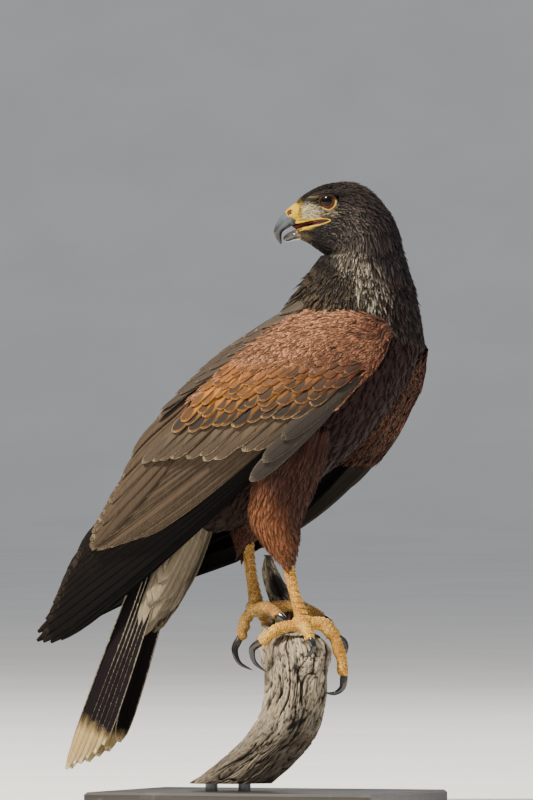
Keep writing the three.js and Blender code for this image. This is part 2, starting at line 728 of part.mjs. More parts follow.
function tailSolid() {
  const feathers = [];
  for (const side of [RIGHT, LEFT]) {
    for (const i of range(TAIL_FEATHERS.perSide)) {
      const { rootQ, tipQ, tipS, out, half } = TAIL_FEATHERS;
      const shape = BLUNT;
      feathers.push(tailFeather(side, [14, rootQ(i)], [tipS(i), tipQ(i)], { half, shape }, () => out(i)));
    }
    for (const i of range(UPPER_COVERTS.perSide)) {
      const { rootS, tipS, half, out, stack } = UPPER_COVERTS;
      const lie = (t) => lerp(0.2, out, Math.min(3 * t, 1)) - stack * i;
      const tip = [tipS - 14 * i, 7 + 7 * i];
      feathers.push(tailFeather(side, [rootS, 6.5 + 3 * i], tip, { half, shape: ROUNDED }, lie));
    }
  }
  return join([tailStub(), ...feathers, ventSolid()]);
}

// Legs: thigh rings are level, from the body down to where the bare leg comes out
const LEGS = {
  right: {
    side: RIGHT,
    thigh: [
      { z: 300, f: 20, l: 29, along: 28, wide: 18 },
      { z: 272, f: 12, l: 30, along: 28, wide: 18 },
      { z: 244, f: 3, l: 29, along: 25, wide: 17 },
      { z: 224, f: -2, l: 27, along: 20.5, wide: 15 },
      { z: 208, f: 1, l: 25, along: 14.5, wide: 12 },
      { z: 197, f: 4, l: 23, along: 8.5, wide: 8.5 },
    ],
    locks: {
      root: { z: 226, f: -1, l: 27, along: 17, wide: 12 },
      tip: { z: 197, f: 1, l: 24.5, along: 16, wide: 13 },
    },
    pad: [17, -18, 145],
    toes: {
      hind: {
        line: [[12, -19, 143], [-2, -21, 141], [-15, -22, 131]],
        claw: [[-17, -22, 129.5], [-24, -21, 124], [-23, -19, 114], [-14, -16, 106]],
      },
      inner: {
        line: [[21, -14, 145], [30, -5, 145], [37, 4, 136]],
        claw: [[38, 5.5, 134], [43, 8, 129], [44, 8, 122], [40, 6, 116]],
      },
      middle: {
        line: [[23, -17, 145], [36, -11, 140], [44, -7, 124], [47, -5, 105]],
        claw: [[47, -5, 102.5], [46, -6, 94], [40, -8, 89.5], [32, -10, 90]],
      },
      outer: {
        line: [[17, -23, 144], [25, -31, 141], [30, -37, 134]],
        claw: [[31, -38, 132], [34, -39.5, 127], [31, -39.5, 121], [26, -38, 118.5]],
      },
    },
  },
  left: {
    side: LEFT,
    thigh: [
      { z: 290, f: -4, l: 29, along: 28, wide: 18 },
      { z: 264, f: -18, l: 28, along: 28, wide: 18 },
      { z: 244, f: -30, l: 26, along: 25, wide: 16 },
      { z: 228, f: -40, l: 23, along: 20, wide: 13 },
      { z: 214, f: -44, l: 20, along: 11, wide: 10 },
    ],
    locks: {
      root: { z: 230, f: -39, l: 23, along: 17, wide: 10.5 },
      tip: { z: 204, f: -46, l: 20, along: 14, wide: 11 },
    },
    pad: [-34, 16, 156],
    toes: {
      hind: {
        line: [[-36, 15, 154], [-42, 13, 148], [-45, 10, 134]],
        claw: [[-46, 9.5, 131.5], [-49, 7, 123], [-45, 6, 113], [-34, 7, 107]],
      },
      inner: {
        line: [[-31, 11, 156], [-21, 3, 157], [-9, -4, 152]],
        claw: [[-7, -5, 150.5], [-2, -7, 147], [-1, -8, 141], [-4, -9, 137]],
      },
      middle: {
        line: [[-30, 16, 156], [-12, 15, 158], [6, 14, 157], [22, 12, 150]],
        claw: [[24, 12, 148.5], [30, 11, 144], [31, 10, 137], [27, 9, 132]],
      },
      outer: {
        line: [[-33, 22, 155], [-35, 33, 153], [-35, 42, 143]],
        claw: [[-35, 43, 140.5], [-34, 46, 133], [-31, 46, 126], [-27, 43, 121]],
      },
    },
  },
};

function levelRing({ z, f, l, along, wide }, side, grow = 0) {
  return range(14).map((i) => {
    const angle = (i / 14) * 2 * Math.PI;
    return bird(f + (along + grow) * Math.cos(angle), side * (l + (wide + grow) * Math.sin(angle)), z);
  });
}

function thighCone(leg, grow = 0) {
  return loft(leg.thigh.map((ring) => levelRing(ring, leg.side, grow)));
}

// The loose feathers that hang round the end of the thigh.
function thighLocks({ side, locks: { root, tip } }) {
  const mix = (key, t) => lerp(root[key], tip[key], t);
  return range(LOCKS).map((i) => {
    const angle = ((i + 0.5) / LOCKS) * 2 * Math.PI;
    const length = 1 - 0.3 * Math.cos(angle);
    const out = bird(Math.cos(angle), side * Math.sin(angle), 0).sub(bird(0, 0, 0));
    const toward = bird(-Math.sin(angle), side * Math.cos(angle), 0).sub(bird(0, 0, 0));
    const stations = LOCK.map(([share, width]) => {
      const t = share * length;
      const f = mix("f", t) + mix("along", t) * Math.cos(angle);
      const l = side * (mix("l", t) + mix("wide", t) * Math.sin(angle));
      return { point: bird(f, l, mix("z", t)), out, half: 5.6 * width };
    });
    return vane(stations, toward, THREE.MathUtils.degToRad(12), 0.8);
  });
}

function thighSolid(leg) {
  return join([thighCone(leg), ...thighLocks(leg)]);
}

function tarsusSolid(leg) {
  const last = leg.thigh[leg.thigh.length - 1];
  const top = bird(last.f, leg.side * last.l, last.z - GAP);
  const foot = bird(leg.pad[0], leg.pad[1], leg.pad[2] + 7.6);
  const swell = graph([[0, 1.25], [0.15, 1.02], [0.6, 0.92], [0.9, 1.1], [1, 1.25]]);
  const bands = 10;
  const rings = range(2 * bands).map((i) => {
    const t = (Math.floor(i / 2) + (i % 2 ? 0.9 : 0)) / (bands - 0.1);
    const centre = top.clone().lerp(foot, Math.min(t, 1));
    const plate = i % 2 ? SCUTE_STEP : 0;
    return range(LEG_SIDES).map((j) => {
      const angle = (j / LEG_SIDES) * 2 * Math.PI;
      const front = Math.max(0, -Math.sin(angle));
      const radius = TARSUS_RADIUS * swell(t) + plate * front;
      return centre.clone().add(new THREE.Vector3(0.9 * radius * Math.cos(angle), radius * Math.sin(angle), 0));
    });
  });
  return loft(rings);
}

function toeSolid(toe) {
  const line = toe.line.map(([f, l, z]) => bird(f, l, z));
  const thick = graph([[0, 5.4], [0.3, 4.6], [0.55, 4.9], [0.8, 4.1], [1, 3.6]]);
  return tube(line, (t) => [thick(t), thick(t) * 0.92], { sides: TOE_SIDES, steps: 7 });
}

function clawSolid(toe) {
  const line = toe.claw.map(([f, l, z]) => bird(f, l, z));
  const thick = graph([[0, 3], [0.4, 2.3], [0.8, 1.1], [1, 0.3]]);
  return tube(line, (t) => [thick(t), thick(t)], { sides: CLAW_SIDES, steps: 6, up: new THREE.Vector3(1, 0, 0.2) });
}

function footSolid(leg, perch) {
  const [f, l, z] = leg.pad;
  const pad = ball(bird(f, l, z), 8, [1, 1.1, 0.9], 0, 10);
  const foot = join([pad, ...Object.values(leg.toes).map(toeSolid)]);
  return foot.subtract(perch);
}

// Perch: a weathered branch that leans back as it rises, spreads under the feet and ends in a
// torn splinter. Its places are given across and away from a viewer on the bird's right, as u, w
// and height; turn is where its long way points.
const VIEW_TURN = THREE.MathUtils.degToRad(20);
const PERCH = [
  { u: -49, w: 0, z: PERCH_SAWN_Z, long: 33, wide: 22, turn: 0, slope: 0 },
  { u: -35, w: 0, z: 28, long: 31, wide: 23, turn: 0, slope: 0 },
  { u: -19, w: 0, z: 42, long: 29, wide: 23, turn: 0, slope: 0 },
  { u: -7, w: 0, z: 56, long: 27, wide: 24, turn: 0, slope: 0 },
  { u: 1, w: 0, z: 72, long: 25, wide: 24, turn: 123, slope: 0 },
  { u: 4, w: 0, z: 88, long: 28, wide: 22, turn: 123, slope: 0 },
  { u: 4, w: 0, z: 103, long: 33, wide: 21, turn: 123, slope: 0.04 },
  { u: 4, w: 0, z: 117, long: 39, wide: 22, turn: 123, slope: 0.1 },
  { u: 2, w: 1, z: 129, long: 42, wide: 20.5, turn: 123, slope: 0.16 },
  { u: 1, w: 2, z: 138, long: 36, wide: 14, turn: 123, slope: 0.2 },
];
const SPLINTER = [
  { u: -2, w: 28, z: 120, long: 17, wide: 7 },
  { u: 0, w: 30, z: 144, long: 16, wide: 6.5 },
  { u: -2, w: 31, z: 158, long: 14, wide: 6 },
  { u: -10, w: 32, z: 172, long: 10, wide: 5 },
  { u: -16, w: 33, z: 187, long: 5.5, wide: 3.6 },
  { u: -18, w: 33, z: 198, long: 1.6, wide: 1.2 },
];
const PERCH_SIDES = 18;

function seen(u, w, z) {
  const f = u * Math.cos(VIEW_TURN) - w * Math.sin(VIEW_TURN);
  const l = u * Math.sin(VIEW_TURN) + w * Math.cos(VIEW_TURN);
  return bird(f, l, z);
}

// A level ring with the grooves of cracked wood, its long way turned as given.
function woodRing({ u, w, z, long, wide, turn = 0, slope = 0 }, row, sides, grow) {
  const lean = THREE.MathUtils.degToRad(turn);
  return range(sides).map((i) => {
    const angle = (i / sides) * 2 * Math.PI;
    const groove = 1 + 0.05 * Math.cos(5 * angle + 0.5 * row) + 0.03 * Math.cos(9 * angle + 2);
    const radius = groove / Math.hypot(Math.cos(angle - lean) / long, Math.sin(angle - lean) / wide) + grow;
    const [x, y] = [radius * Math.cos(angle), radius * Math.sin(angle)];
    return seen(u + x, w + y, z + slope * y + grow);
  });
}

function perchSolid(grow) {
  const branch = loft(PERCH.map((s, row) => woodRing(s, row, PERCH_SIDES, grow)));
  const splinter = loft(SPLINTER.map((s, row) => woodRing(s, row, 10, grow)));
  return branch.add(splinter);
}

// Stand
function baseSolid() {
  const [x, y, c] = [BASE_WIDTH / 2, BASE_LENGTH / 2, BASE_CHAMFER];
  const ring = (inset, z) =>
    [
      [-x + inset, -y + inset],
      [x - inset, -y + inset],
      [x - inset, y - inset],
      [-x + inset, y - inset],
    ].map(([px, py]) => new THREE.Vector3(px, py, z));
  return loft([ring(0, 0), ring(0, BASE_THICKNESS - c), ring(c, BASE_THICKNESS)]);
}

function rodSolid(u) {
  const bottom = BASE_THICKNESS + GAP;
  const top = PERCH_SAWN_Z - GAP;
  const geometry = new THREE.CylinderGeometry(ROD_RADIUS, ROD_RADIUS, top - bottom, 20);
  const centre = seen(u, 0, (bottom + top) / 2);
  geometry.rotateX(Math.PI / 2).translate(centre.x, centre.y, centre.z);
  return fromGeometry(geometry);
}

// Assembly

const trunkRoom = join([torsoSolid(GAP), neckSolid(GAP)]);
const thighRoom = Object.values(LEGS).map((leg) => thighCone(leg, GAP));
const bodyRoom = join([trunkRoom, ...thighRoom]);
piece("torso", torsoSolid(0), plumageBrown);
piece("neck", neckSolid(0), plumageBrown);
piece("head", headSolid(), plumageBrown);
piece("cere", cereSolid(), cereYellow);
piece("bill_upper", billSolid(UPPER_BILL), hornDark);
piece("bill_lower", billSolid(LOWER_BILL), hornDark);
piece("eye_left", ball(eyeCentre(LEFT), EYE_RADIUS), irisBrown);
piece("eye_right", ball(eyeCentre(RIGHT), EYE_RADIUS), irisBrown);

for (const [name, wing] of Object.entries(WINGS)) {
  piece(name, wingSolid(wing).subtract(bodyRoom), plumageWing);
}
piece("tail", tailSolid().subtract(trunkRoom), plumageTail);

const perchRoom = perchSolid(GAP);
for (const [name, leg] of Object.entries(LEGS)) {
  piece(`thigh_${name}`, thighSolid(leg).subtract(trunkRoom), plumageThigh);
  piece(`tarsus_${name}`, tarsusSolid(leg), legYellow);
  piece(`foot_${name}`, footSolid(leg, perchRoom), legYellow);
  for (const [toeName, toe] of Object.entries(leg.toes)) {
    piece(`claw_${name}_${toeName}`, clawSolid(toe).subtract(perchRoom), clawBlack);
  }
}

piece("perch", perchSolid(0), wood);
piece("stand_base", baseSolid(), standPaint);
piece("stand_rod_front", rodSolid(PERCH[0].u + ROD_SPACING / 2), standPaint);
piece("stand_rod_back", rodSolid(PERCH[0].u - ROD_SPACING / 2), standPaint);

export default hawk;
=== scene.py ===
"""A life-size model of a Harris's hawk on a cut branch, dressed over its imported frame.

Sizes are in millimetres and become metres where a mesh is made. Places on the bird are
given as (f, l, z): forward, to its left and up.
"""

import logging
import math
from dataclasses import dataclass, field
from enum import Enum
from typing import Callable, Sequence

import bpy
import numpy as np
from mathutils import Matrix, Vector, noise
from mathutils.bvhtree import BVHTree


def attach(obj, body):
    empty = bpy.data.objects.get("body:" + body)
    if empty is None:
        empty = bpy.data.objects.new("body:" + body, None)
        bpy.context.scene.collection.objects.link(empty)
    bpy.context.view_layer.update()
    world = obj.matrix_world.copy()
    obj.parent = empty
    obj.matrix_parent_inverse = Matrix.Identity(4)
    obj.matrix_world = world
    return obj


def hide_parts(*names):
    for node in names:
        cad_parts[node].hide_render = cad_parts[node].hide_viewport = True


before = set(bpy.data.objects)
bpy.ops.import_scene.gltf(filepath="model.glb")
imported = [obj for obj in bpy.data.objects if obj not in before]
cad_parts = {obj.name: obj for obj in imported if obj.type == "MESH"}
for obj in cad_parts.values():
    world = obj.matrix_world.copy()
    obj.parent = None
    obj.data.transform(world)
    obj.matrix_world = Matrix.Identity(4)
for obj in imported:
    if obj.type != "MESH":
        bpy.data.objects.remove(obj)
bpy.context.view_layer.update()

LOG = logging.getLogger("hawk")
MM = 0.001
BODY = "root"
BAKE_MAP = "OFBake"
VANE_MAP = "Vane"
BARB_MAP = "Barb"
TUFT_PATCH = 0.003
LONG_PLACES = 7
BASE_CENTRE_F = -20.0
Array = np.ndarray
Piece = bpy.types.Object
Socket = bpy.types.NodeSocket
Material = bpy.types.Material
ByPlace = Callable[[Array], Array]
Colour = tuple[int, int, int]


class Side(Enum):
    """A side of the bird, with its sign along the axis to the left."""

    RIGHT = -1
    LEFT = 1

    @property
    def word(self) -> str:
        """Give the side's name as the pieces' names have it."""
        return self.name.lower()


# Small maths


@dataclass(frozen=True)
class Graph:
    """A smooth graph through points, level beyond both ends."""

    points: tuple[tuple[float, float], ...]

    def __call__(self, x: float | Array) -> Array:
        """Read the graph.

        Args:
            x: One place or many.

        Returns:
            The height of the graph there.
        """
        xs, ys = np.array(self.points, float).T
        count = len(xs)
        before = np.maximum(np.arange(count) - 1, 0)
        after = np.minimum(np.arange(count) + 1, count - 1)
        slopes = (ys[after] - ys[before]) / (xs[after] - xs[before])
        x = np.clip(np.asarray(x, float), xs[0], xs[-1])
        i = np.clip(np.searchsorted(xs, x, side="right") - 1, 0, count - 2)
        span = xs[i + 1] - xs[i]
        rise = ys[i + 1] - ys[i]
        t = (x - xs[i]) / span
        bend = (slopes[i] * span - rise) * (1 - t) - (slopes[i + 1] * span - rise) * t
        return ys[i] + rise * t + t * (1 - t) * bend


def mix(a: float | Array, b: float | Array, t: float | Array) -> Array:
    """Blend from a to b as t goes from 0 to 1."""
    return a + (np.asarray(b) - a) * t


def smooth(low: float, high: float, x: float | Array) -> Array:
    """Rise smoothly from 0 at low to 1 at high."""
    t = np.clip((np.asarray(x, float) - low) / (high - low), 0, 1)
    return t * t * (3 - 2 * t)


def unit(v: Array) -> Array:
    """Scale vectors to length one."""
    return v / np.maximum(np.linalg.norm(v, axis=-1, keepdims=True), 1e-9)


def dot(a: Array, b: Array) -> Array:
    """Dot products, keeping the last axis."""
    return (a * b).sum(-1, keepdims=True)


def facing(vectors: Array, way: Array) -> Array:
    """Turn round the vectors that point against another direction."""
    return np.where(dot(vectors, way) < 0, -vectors, vectors)


def heading(start: tuple[float, float], end: tuple[float, float]) -> Array:
    """Give the direction from one place to another, forward and up."""
    step = np.array(end, float) - start
    return step / np.hypot(*step)


def circle(count: int) -> Array:
    """Give the angles of places spread evenly round a ring."""
    return np.arange(count) / count * 2 * math.pi


def bird(f: float | Array, l: float | Array, z: float | Array) -> Array:
    """Turn a place on the bird into the frame's x, y and z."""
    f, l, z = np.broadcast_arrays(f, l, z)
    return np.stack([l, BASE_CENTRE_F - f, z], axis=-1).astype(float)


def toward(f: float, l: float, z: float) -> Array:
    """Turn a direction on the bird into the frame's."""
    return bird(f, l, z) - bird(0.0, 0.0, 0.0)


def linear(colour: Colour) -> Array:
    """Turn a colour given from 0 to 255 into linear light."""
    c = np.array(colour, float) / 255
    return np.where(c <= 0.04045, c / 12.92, ((c + 0.055) / 1.055) ** 2.4)


def rgba(colour: Colour) -> tuple[float, float, float, float]:
    """Give a colour as a socket's value."""
    return (*linear(colour), 1.0)


@dataclass(frozen=True)
class HeadFrame:
    """Where the turned head sits on the bird: x toward the bill, y to its left, z up."""

    f: float = 35.7
    l: float = -8.3
    z: float = 477.0
    turn: float = math.radians(-160)

    def __call__(self, x: float | Array, y: float | Array, z: float | Array) -> Array:
        """Turn a place in the head's own frame into the scene's frame.

        Args:
            x: How far toward the bill.
            y: How far to its left.
            z: How high.

        Returns:
            The place in the scene's frame.
        """
        cos, sin = math.cos(self.turn), math.sin(self.turn)
        x, y = np.asarray(x, float), np.asarray(y, float)
        return bird(self.f + x * cos - y * sin, self.l + x * sin + y * cos, self.z + z)

    def local(self, points: Array) -> Array:
        """Turn places in the scene's frame into the head's own frame.

        Args:
            points: Places in the scene's frame, in millimetres.

        Returns:
            The places as x, y and z of the head's frame.
        """
        cos, sin = math.cos(self.turn), math.sin(self.turn)
        f, l = BASE_CENTRE_F - points[..., 1] - self.f, points[..., 0] - self.l
        return np.stack([f * cos + l * sin, l * cos - f * sin, points[..., 2] - self.z], -1)


HEAD = HeadFrame()
Place = Callable[[Array, Array, Array], Array]


# Meshes


@dataclass
class Shell:
    """Points in millimetres with the quads and triangles between them."""

    points: Array
    quads: Array
    triangles: Array = field(default_factory=lambda: np.zeros((0, 3), int))

    def build(self, name: str, finish: Material, shade_smooth: bool = True) -> Piece:
        """Make a Blender object of the shell.

        Args:
            name: The object's name.
            finish: Its material.
            shade_smooth: Whether its faces are shaded as one round surface.

        Returns:
            The linked object.
        """
        mesh = bpy.data.meshes.new(name)
        loops = np.concatenate([self.quads.ravel(), self.triangles.ravel()]).astype(np.int32)
        totals = np.r_[np.full(len(self.quads), 4), np.full(len(self.triangles), 3)].astype(np.int32)
        starts = np.r_[0, np.cumsum(totals)[:-1]].astype(np.int32)
        mesh.vertices.add(len(self.points))
        mesh.vertices.foreach_set("co", (self.points * MM).astype(np.float32).ravel())
        mesh.loops.add(len(loops))
        mesh.loops.foreach_set("vertex_index", loops)
        mesh.polygons.add(len(totals))
        mesh.polygons.foreach_set("loop_start", starts)
        mesh.update(calc_edges=True)
        mesh.polygons.foreach_set("use_smooth", np.full(len(totals), shade_smooth))
        mesh.materials.append(finish)
        piece = bpy.data.objects.new(name, mesh)
        bpy.context.scene.collection.objects.link(piece)
        return piece


def loft(rings: Array) -> Shell:
    """Close a skin over rings that all have the same number of points.

    Args:
        rings: Points as (ring, place in ring, axis).

    Returns:
        The closed shell, with a middle point in each end.
    """
    count, sides = rings.shape[:2]
    i, j = np.meshgrid(np.arange(count - 1), np.arange(sides), indexing="ij")
    k = (j + 1) % sides
    quads = np.stack([i * sides + j, i * sides + k, (i + 1) * sides + k, (i + 1) * sides + j], -1)
    points = np.concatenate([rings.reshape(-1, 3), rings[[0, -1]].mean(1)])
    around = np.arange(sides)
    after = (around + 1) % sides
    last = (count - 1) * sides
    first_cap = np.stack([np.full(sides, count * sides), after, around], -1)
    last_cap = np.stack([np.full(sides, count * sides + 1), last + around, last + after], -1)
    quads, caps = quads.reshape(-1, 4), np.concatenate([first_cap, last_cap])
    a, b, c = (points[caps[:, n]] for n in range(3))
    volume = (a * np.cross(b, c)).sum()
    a, b, c, d = (points[quads[:, n]] for n in range(4))
    volume += (a * np.cross(b, c)).sum() + (a * np.cross(c, d)).sum()
    if volume < 0:
        quads, caps = quads[:, ::-1], caps[:, ::-1]
    return Shell(points, quads, caps)


def refine(rings: Array, between: int) -> Array:
    """Add smooth rings between the given ones.

    Args:
        rings: Points as (ring, place in ring, axis).
        between: How many steps replace each step.

    Returns:
        The finer rings.
    """
    count = len(rings)
    spots = np.linspace(0, count - 1, (count - 1) * between + 1)
    i = np.minimum(spots.astype(int), count - 2)
    t = (spots - i)[:, None, None]
    before, after = np.maximum(i - 1, 0), np.minimum(i + 2, count - 1)
    a, b = rings[i], rings[i + 1]
    out, into = (b - rings[before]) / 2, (rings[after] - a) / 2
    return (
        (2 * t**3 - 3 * t**2 + 1) * a
        + (t**3 - 2 * t**2 + t) * out
        + (3 * t**2 - 2 * t**3) * b
        + (t**3 - t**2) * into
    )


def smooth_line(points: Sequence[Sequence[float]], count: int) -> Array:
    """Lay a smooth line through a few points.

    Args:
        points: The places that the line passes.
        count: How many places to give along it.

    Returns:
        The places, about evenly spread.
    """
    fine = refine(np.array(points, float)[:, None, :], 24)[:, 0]
    steps = np.r_[0, np.cumsum(np.linalg.norm(np.diff(fine, axis=0), axis=1))]
    spots = np.linspace(0, steps[-1], count)
    return np.stack([np.interp(spots, steps, fine[:, n]) for n in range(3)], -1)


def tube(line: Array, wide: Array, high: Array, sides: int, up: Sequence[float] = (0, 0, 1)) -> Array:
    """Lay rings along a line.

    Args:
        line: The middle of each ring.
        wide: Half-width of each ring, or of each place in it.
        high: Half-height of each ring, or of each place in it.
        sides: How many points a ring has.
        up: Which way the height points.

    Returns:
        The rings.
    """
    ahead = unit(np.gradient(line, axis=0))
    tops, top = [], np.array(up, float)
    for step in ahead:
        top = unit(top - step * dot(top, step))
        tops.append(top)
    top = np.array(tops)
    across = np.cross(ahead, top)
    angle = circle(sides)
    wide, high = (
        np.broadcast_to(np.asarray(s, float).reshape(len(line), -1), (len(line), sides))
        for s in (wide, high)
    )
    return (
        line[:, None]
        + across[:, None] * (wide * np.cos(angle))[..., None]
        + top[:, None] * (high * np.sin(angle))[..., None]
    )


def join_shells(shells: Sequence[Shell]) -> Shell:
    """Put several shells into one."""
    offsets = np.r_[0, np.cumsum([len(s.points) for s in shells])[:-1]]
    return Shell(
        np.concatenate([s.points for s in shells]),
        np.concatenate([s.quads + o for s, o in zip(shells, offsets)]),
        np.concatenate([s.triangles + o for s, o in zip(shells, offsets)]),
    )


def set_colour(piece: Piece, name: str, values: Array) -> None:
    """Give each point of a piece a colour.

    Args:
        piece: A mesh object.
        name: The attribute's name.
        values: Linear colours, one for each point.
    """
    layer = piece.data.color_attributes.new(name, "FLOAT_COLOR", "POINT")
    layer.data.foreach_set("color", np.c_[values, np.ones(len(values))].astype(np.float32).ravel())


def tint(piece: Piece, ground: Array, fringe: Array) -> None:
    """Give each point of a piece its ground and fringe colours."""
    set_colour(piece, "ground", ground)
    set_colour(piece, "fringe", fringe)


def set_number(piece: Piece, name: str, values: Array) -> None:
    """Give each point of a piece a number."""
    layer = piece.data.attributes.new(name, "FLOAT", "POINT")
    layer.data.foreach_set("value", values.astype(np.float32))


def set_map(piece: Piece, name: str, values: Array) -> None:
    """Give each point of a piece a place on a map.

    Args:
        piece: A mesh object.
        name: The map's name.
        values: Places on the map, one for each point.
    """
    corners = np.zeros(len(piece.data.loops), np.int32)
    piece.data.loops.foreach_get("vertex_index", corners)
    layer = piece.data.uv_layers.new(name=name)
    layer.data.foreach_set("uv", values[corners].astype(np.float32).ravel())


def apply_modifier(piece: Piece, kind: str, **settings: object) -> None:
    """Add a modifier to a piece and apply it.

    Args:
        piece: A mesh object.
        kind: The modifier's type.
        **settings: Its settings.
    """
    modifier = piece.modifiers.new(kind, kind)
    for key, value in settings.items():
        setattr(modifier, key, value)
    bpy.context.view_layer.update()
    solid = bpy.data.meshes.new_from_object(piece.evaluated_get(bpy.context.evaluated_depsgraph_get()))
    piece.modifiers.clear()
    old, piece.data = piece.data, solid
    bpy.data.meshes.remove(old)


def points_of(piece: Piece) -> Array:
    """Read a piece's points, in millimetres.

    Args:
        piece: A mesh object.

    Returns:
        The points.
    """
    values = np.zeros(len(piece.data.vertices) * 3, np.float32)
    piece.data.vertices.foreach_get("co", values)
    return values.reshape(-1, 3).astype(float) / MM


def hollows(piece: Piece, reach: float, rounds: int = 6) -> Array:
    """Find how far each point lies in a groove.

    Args:
        piece: A mesh object.
        reach: The depth, in millimetres, that counts as 1.
        rounds: How widely the surface is smoothed for comparison.

    Returns:
        A number for each point, from 0 on flats and ridges to 1 in grooves.
    """
    mesh = piece.data
    edges = np.zeros(len(mesh.edges) * 2, np.int32)
    mesh.edges.foreach_get("vertices", edges)
    a, b = edges.reshape(-1, 2).T
    normals = np.zeros(len(mesh.vertices) * 3, np.float32)
    mesh.vertex_normals.foreach_get("vector", normals)
    points = points_of(piece)
    count = np.bincount(np.r_[a, b], minlength=len(points))[:, None]
    flat = points
    for _ in range(rounds):
        total = np.stack(
            [np.bincount(np.r_[a, b], np.r_[flat[b, n], flat[a, n]], len(points)) for n in range(3)], -1
        )
        flat = total / np.maximum(count, 1)
    return np.clip(((flat - points) * normals.reshape(-1, 3)).sum(1) / reach, 0, 1)


def mount(piece: Piece, slot: str, *nodes: str) -> Piece:
    """Hand a finished piece to the frame.

    Args:
        piece: The object.
        slot: Not used.
        *nodes: The solids that it stands for.

    Returns:
        The same object.
    """
    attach(piece, BODY)
    if nodes:
        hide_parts(*nodes)
    LOG.info("%s: %d faces", piece.name, len(piece.data.polygons))
    return piece


# Finishes


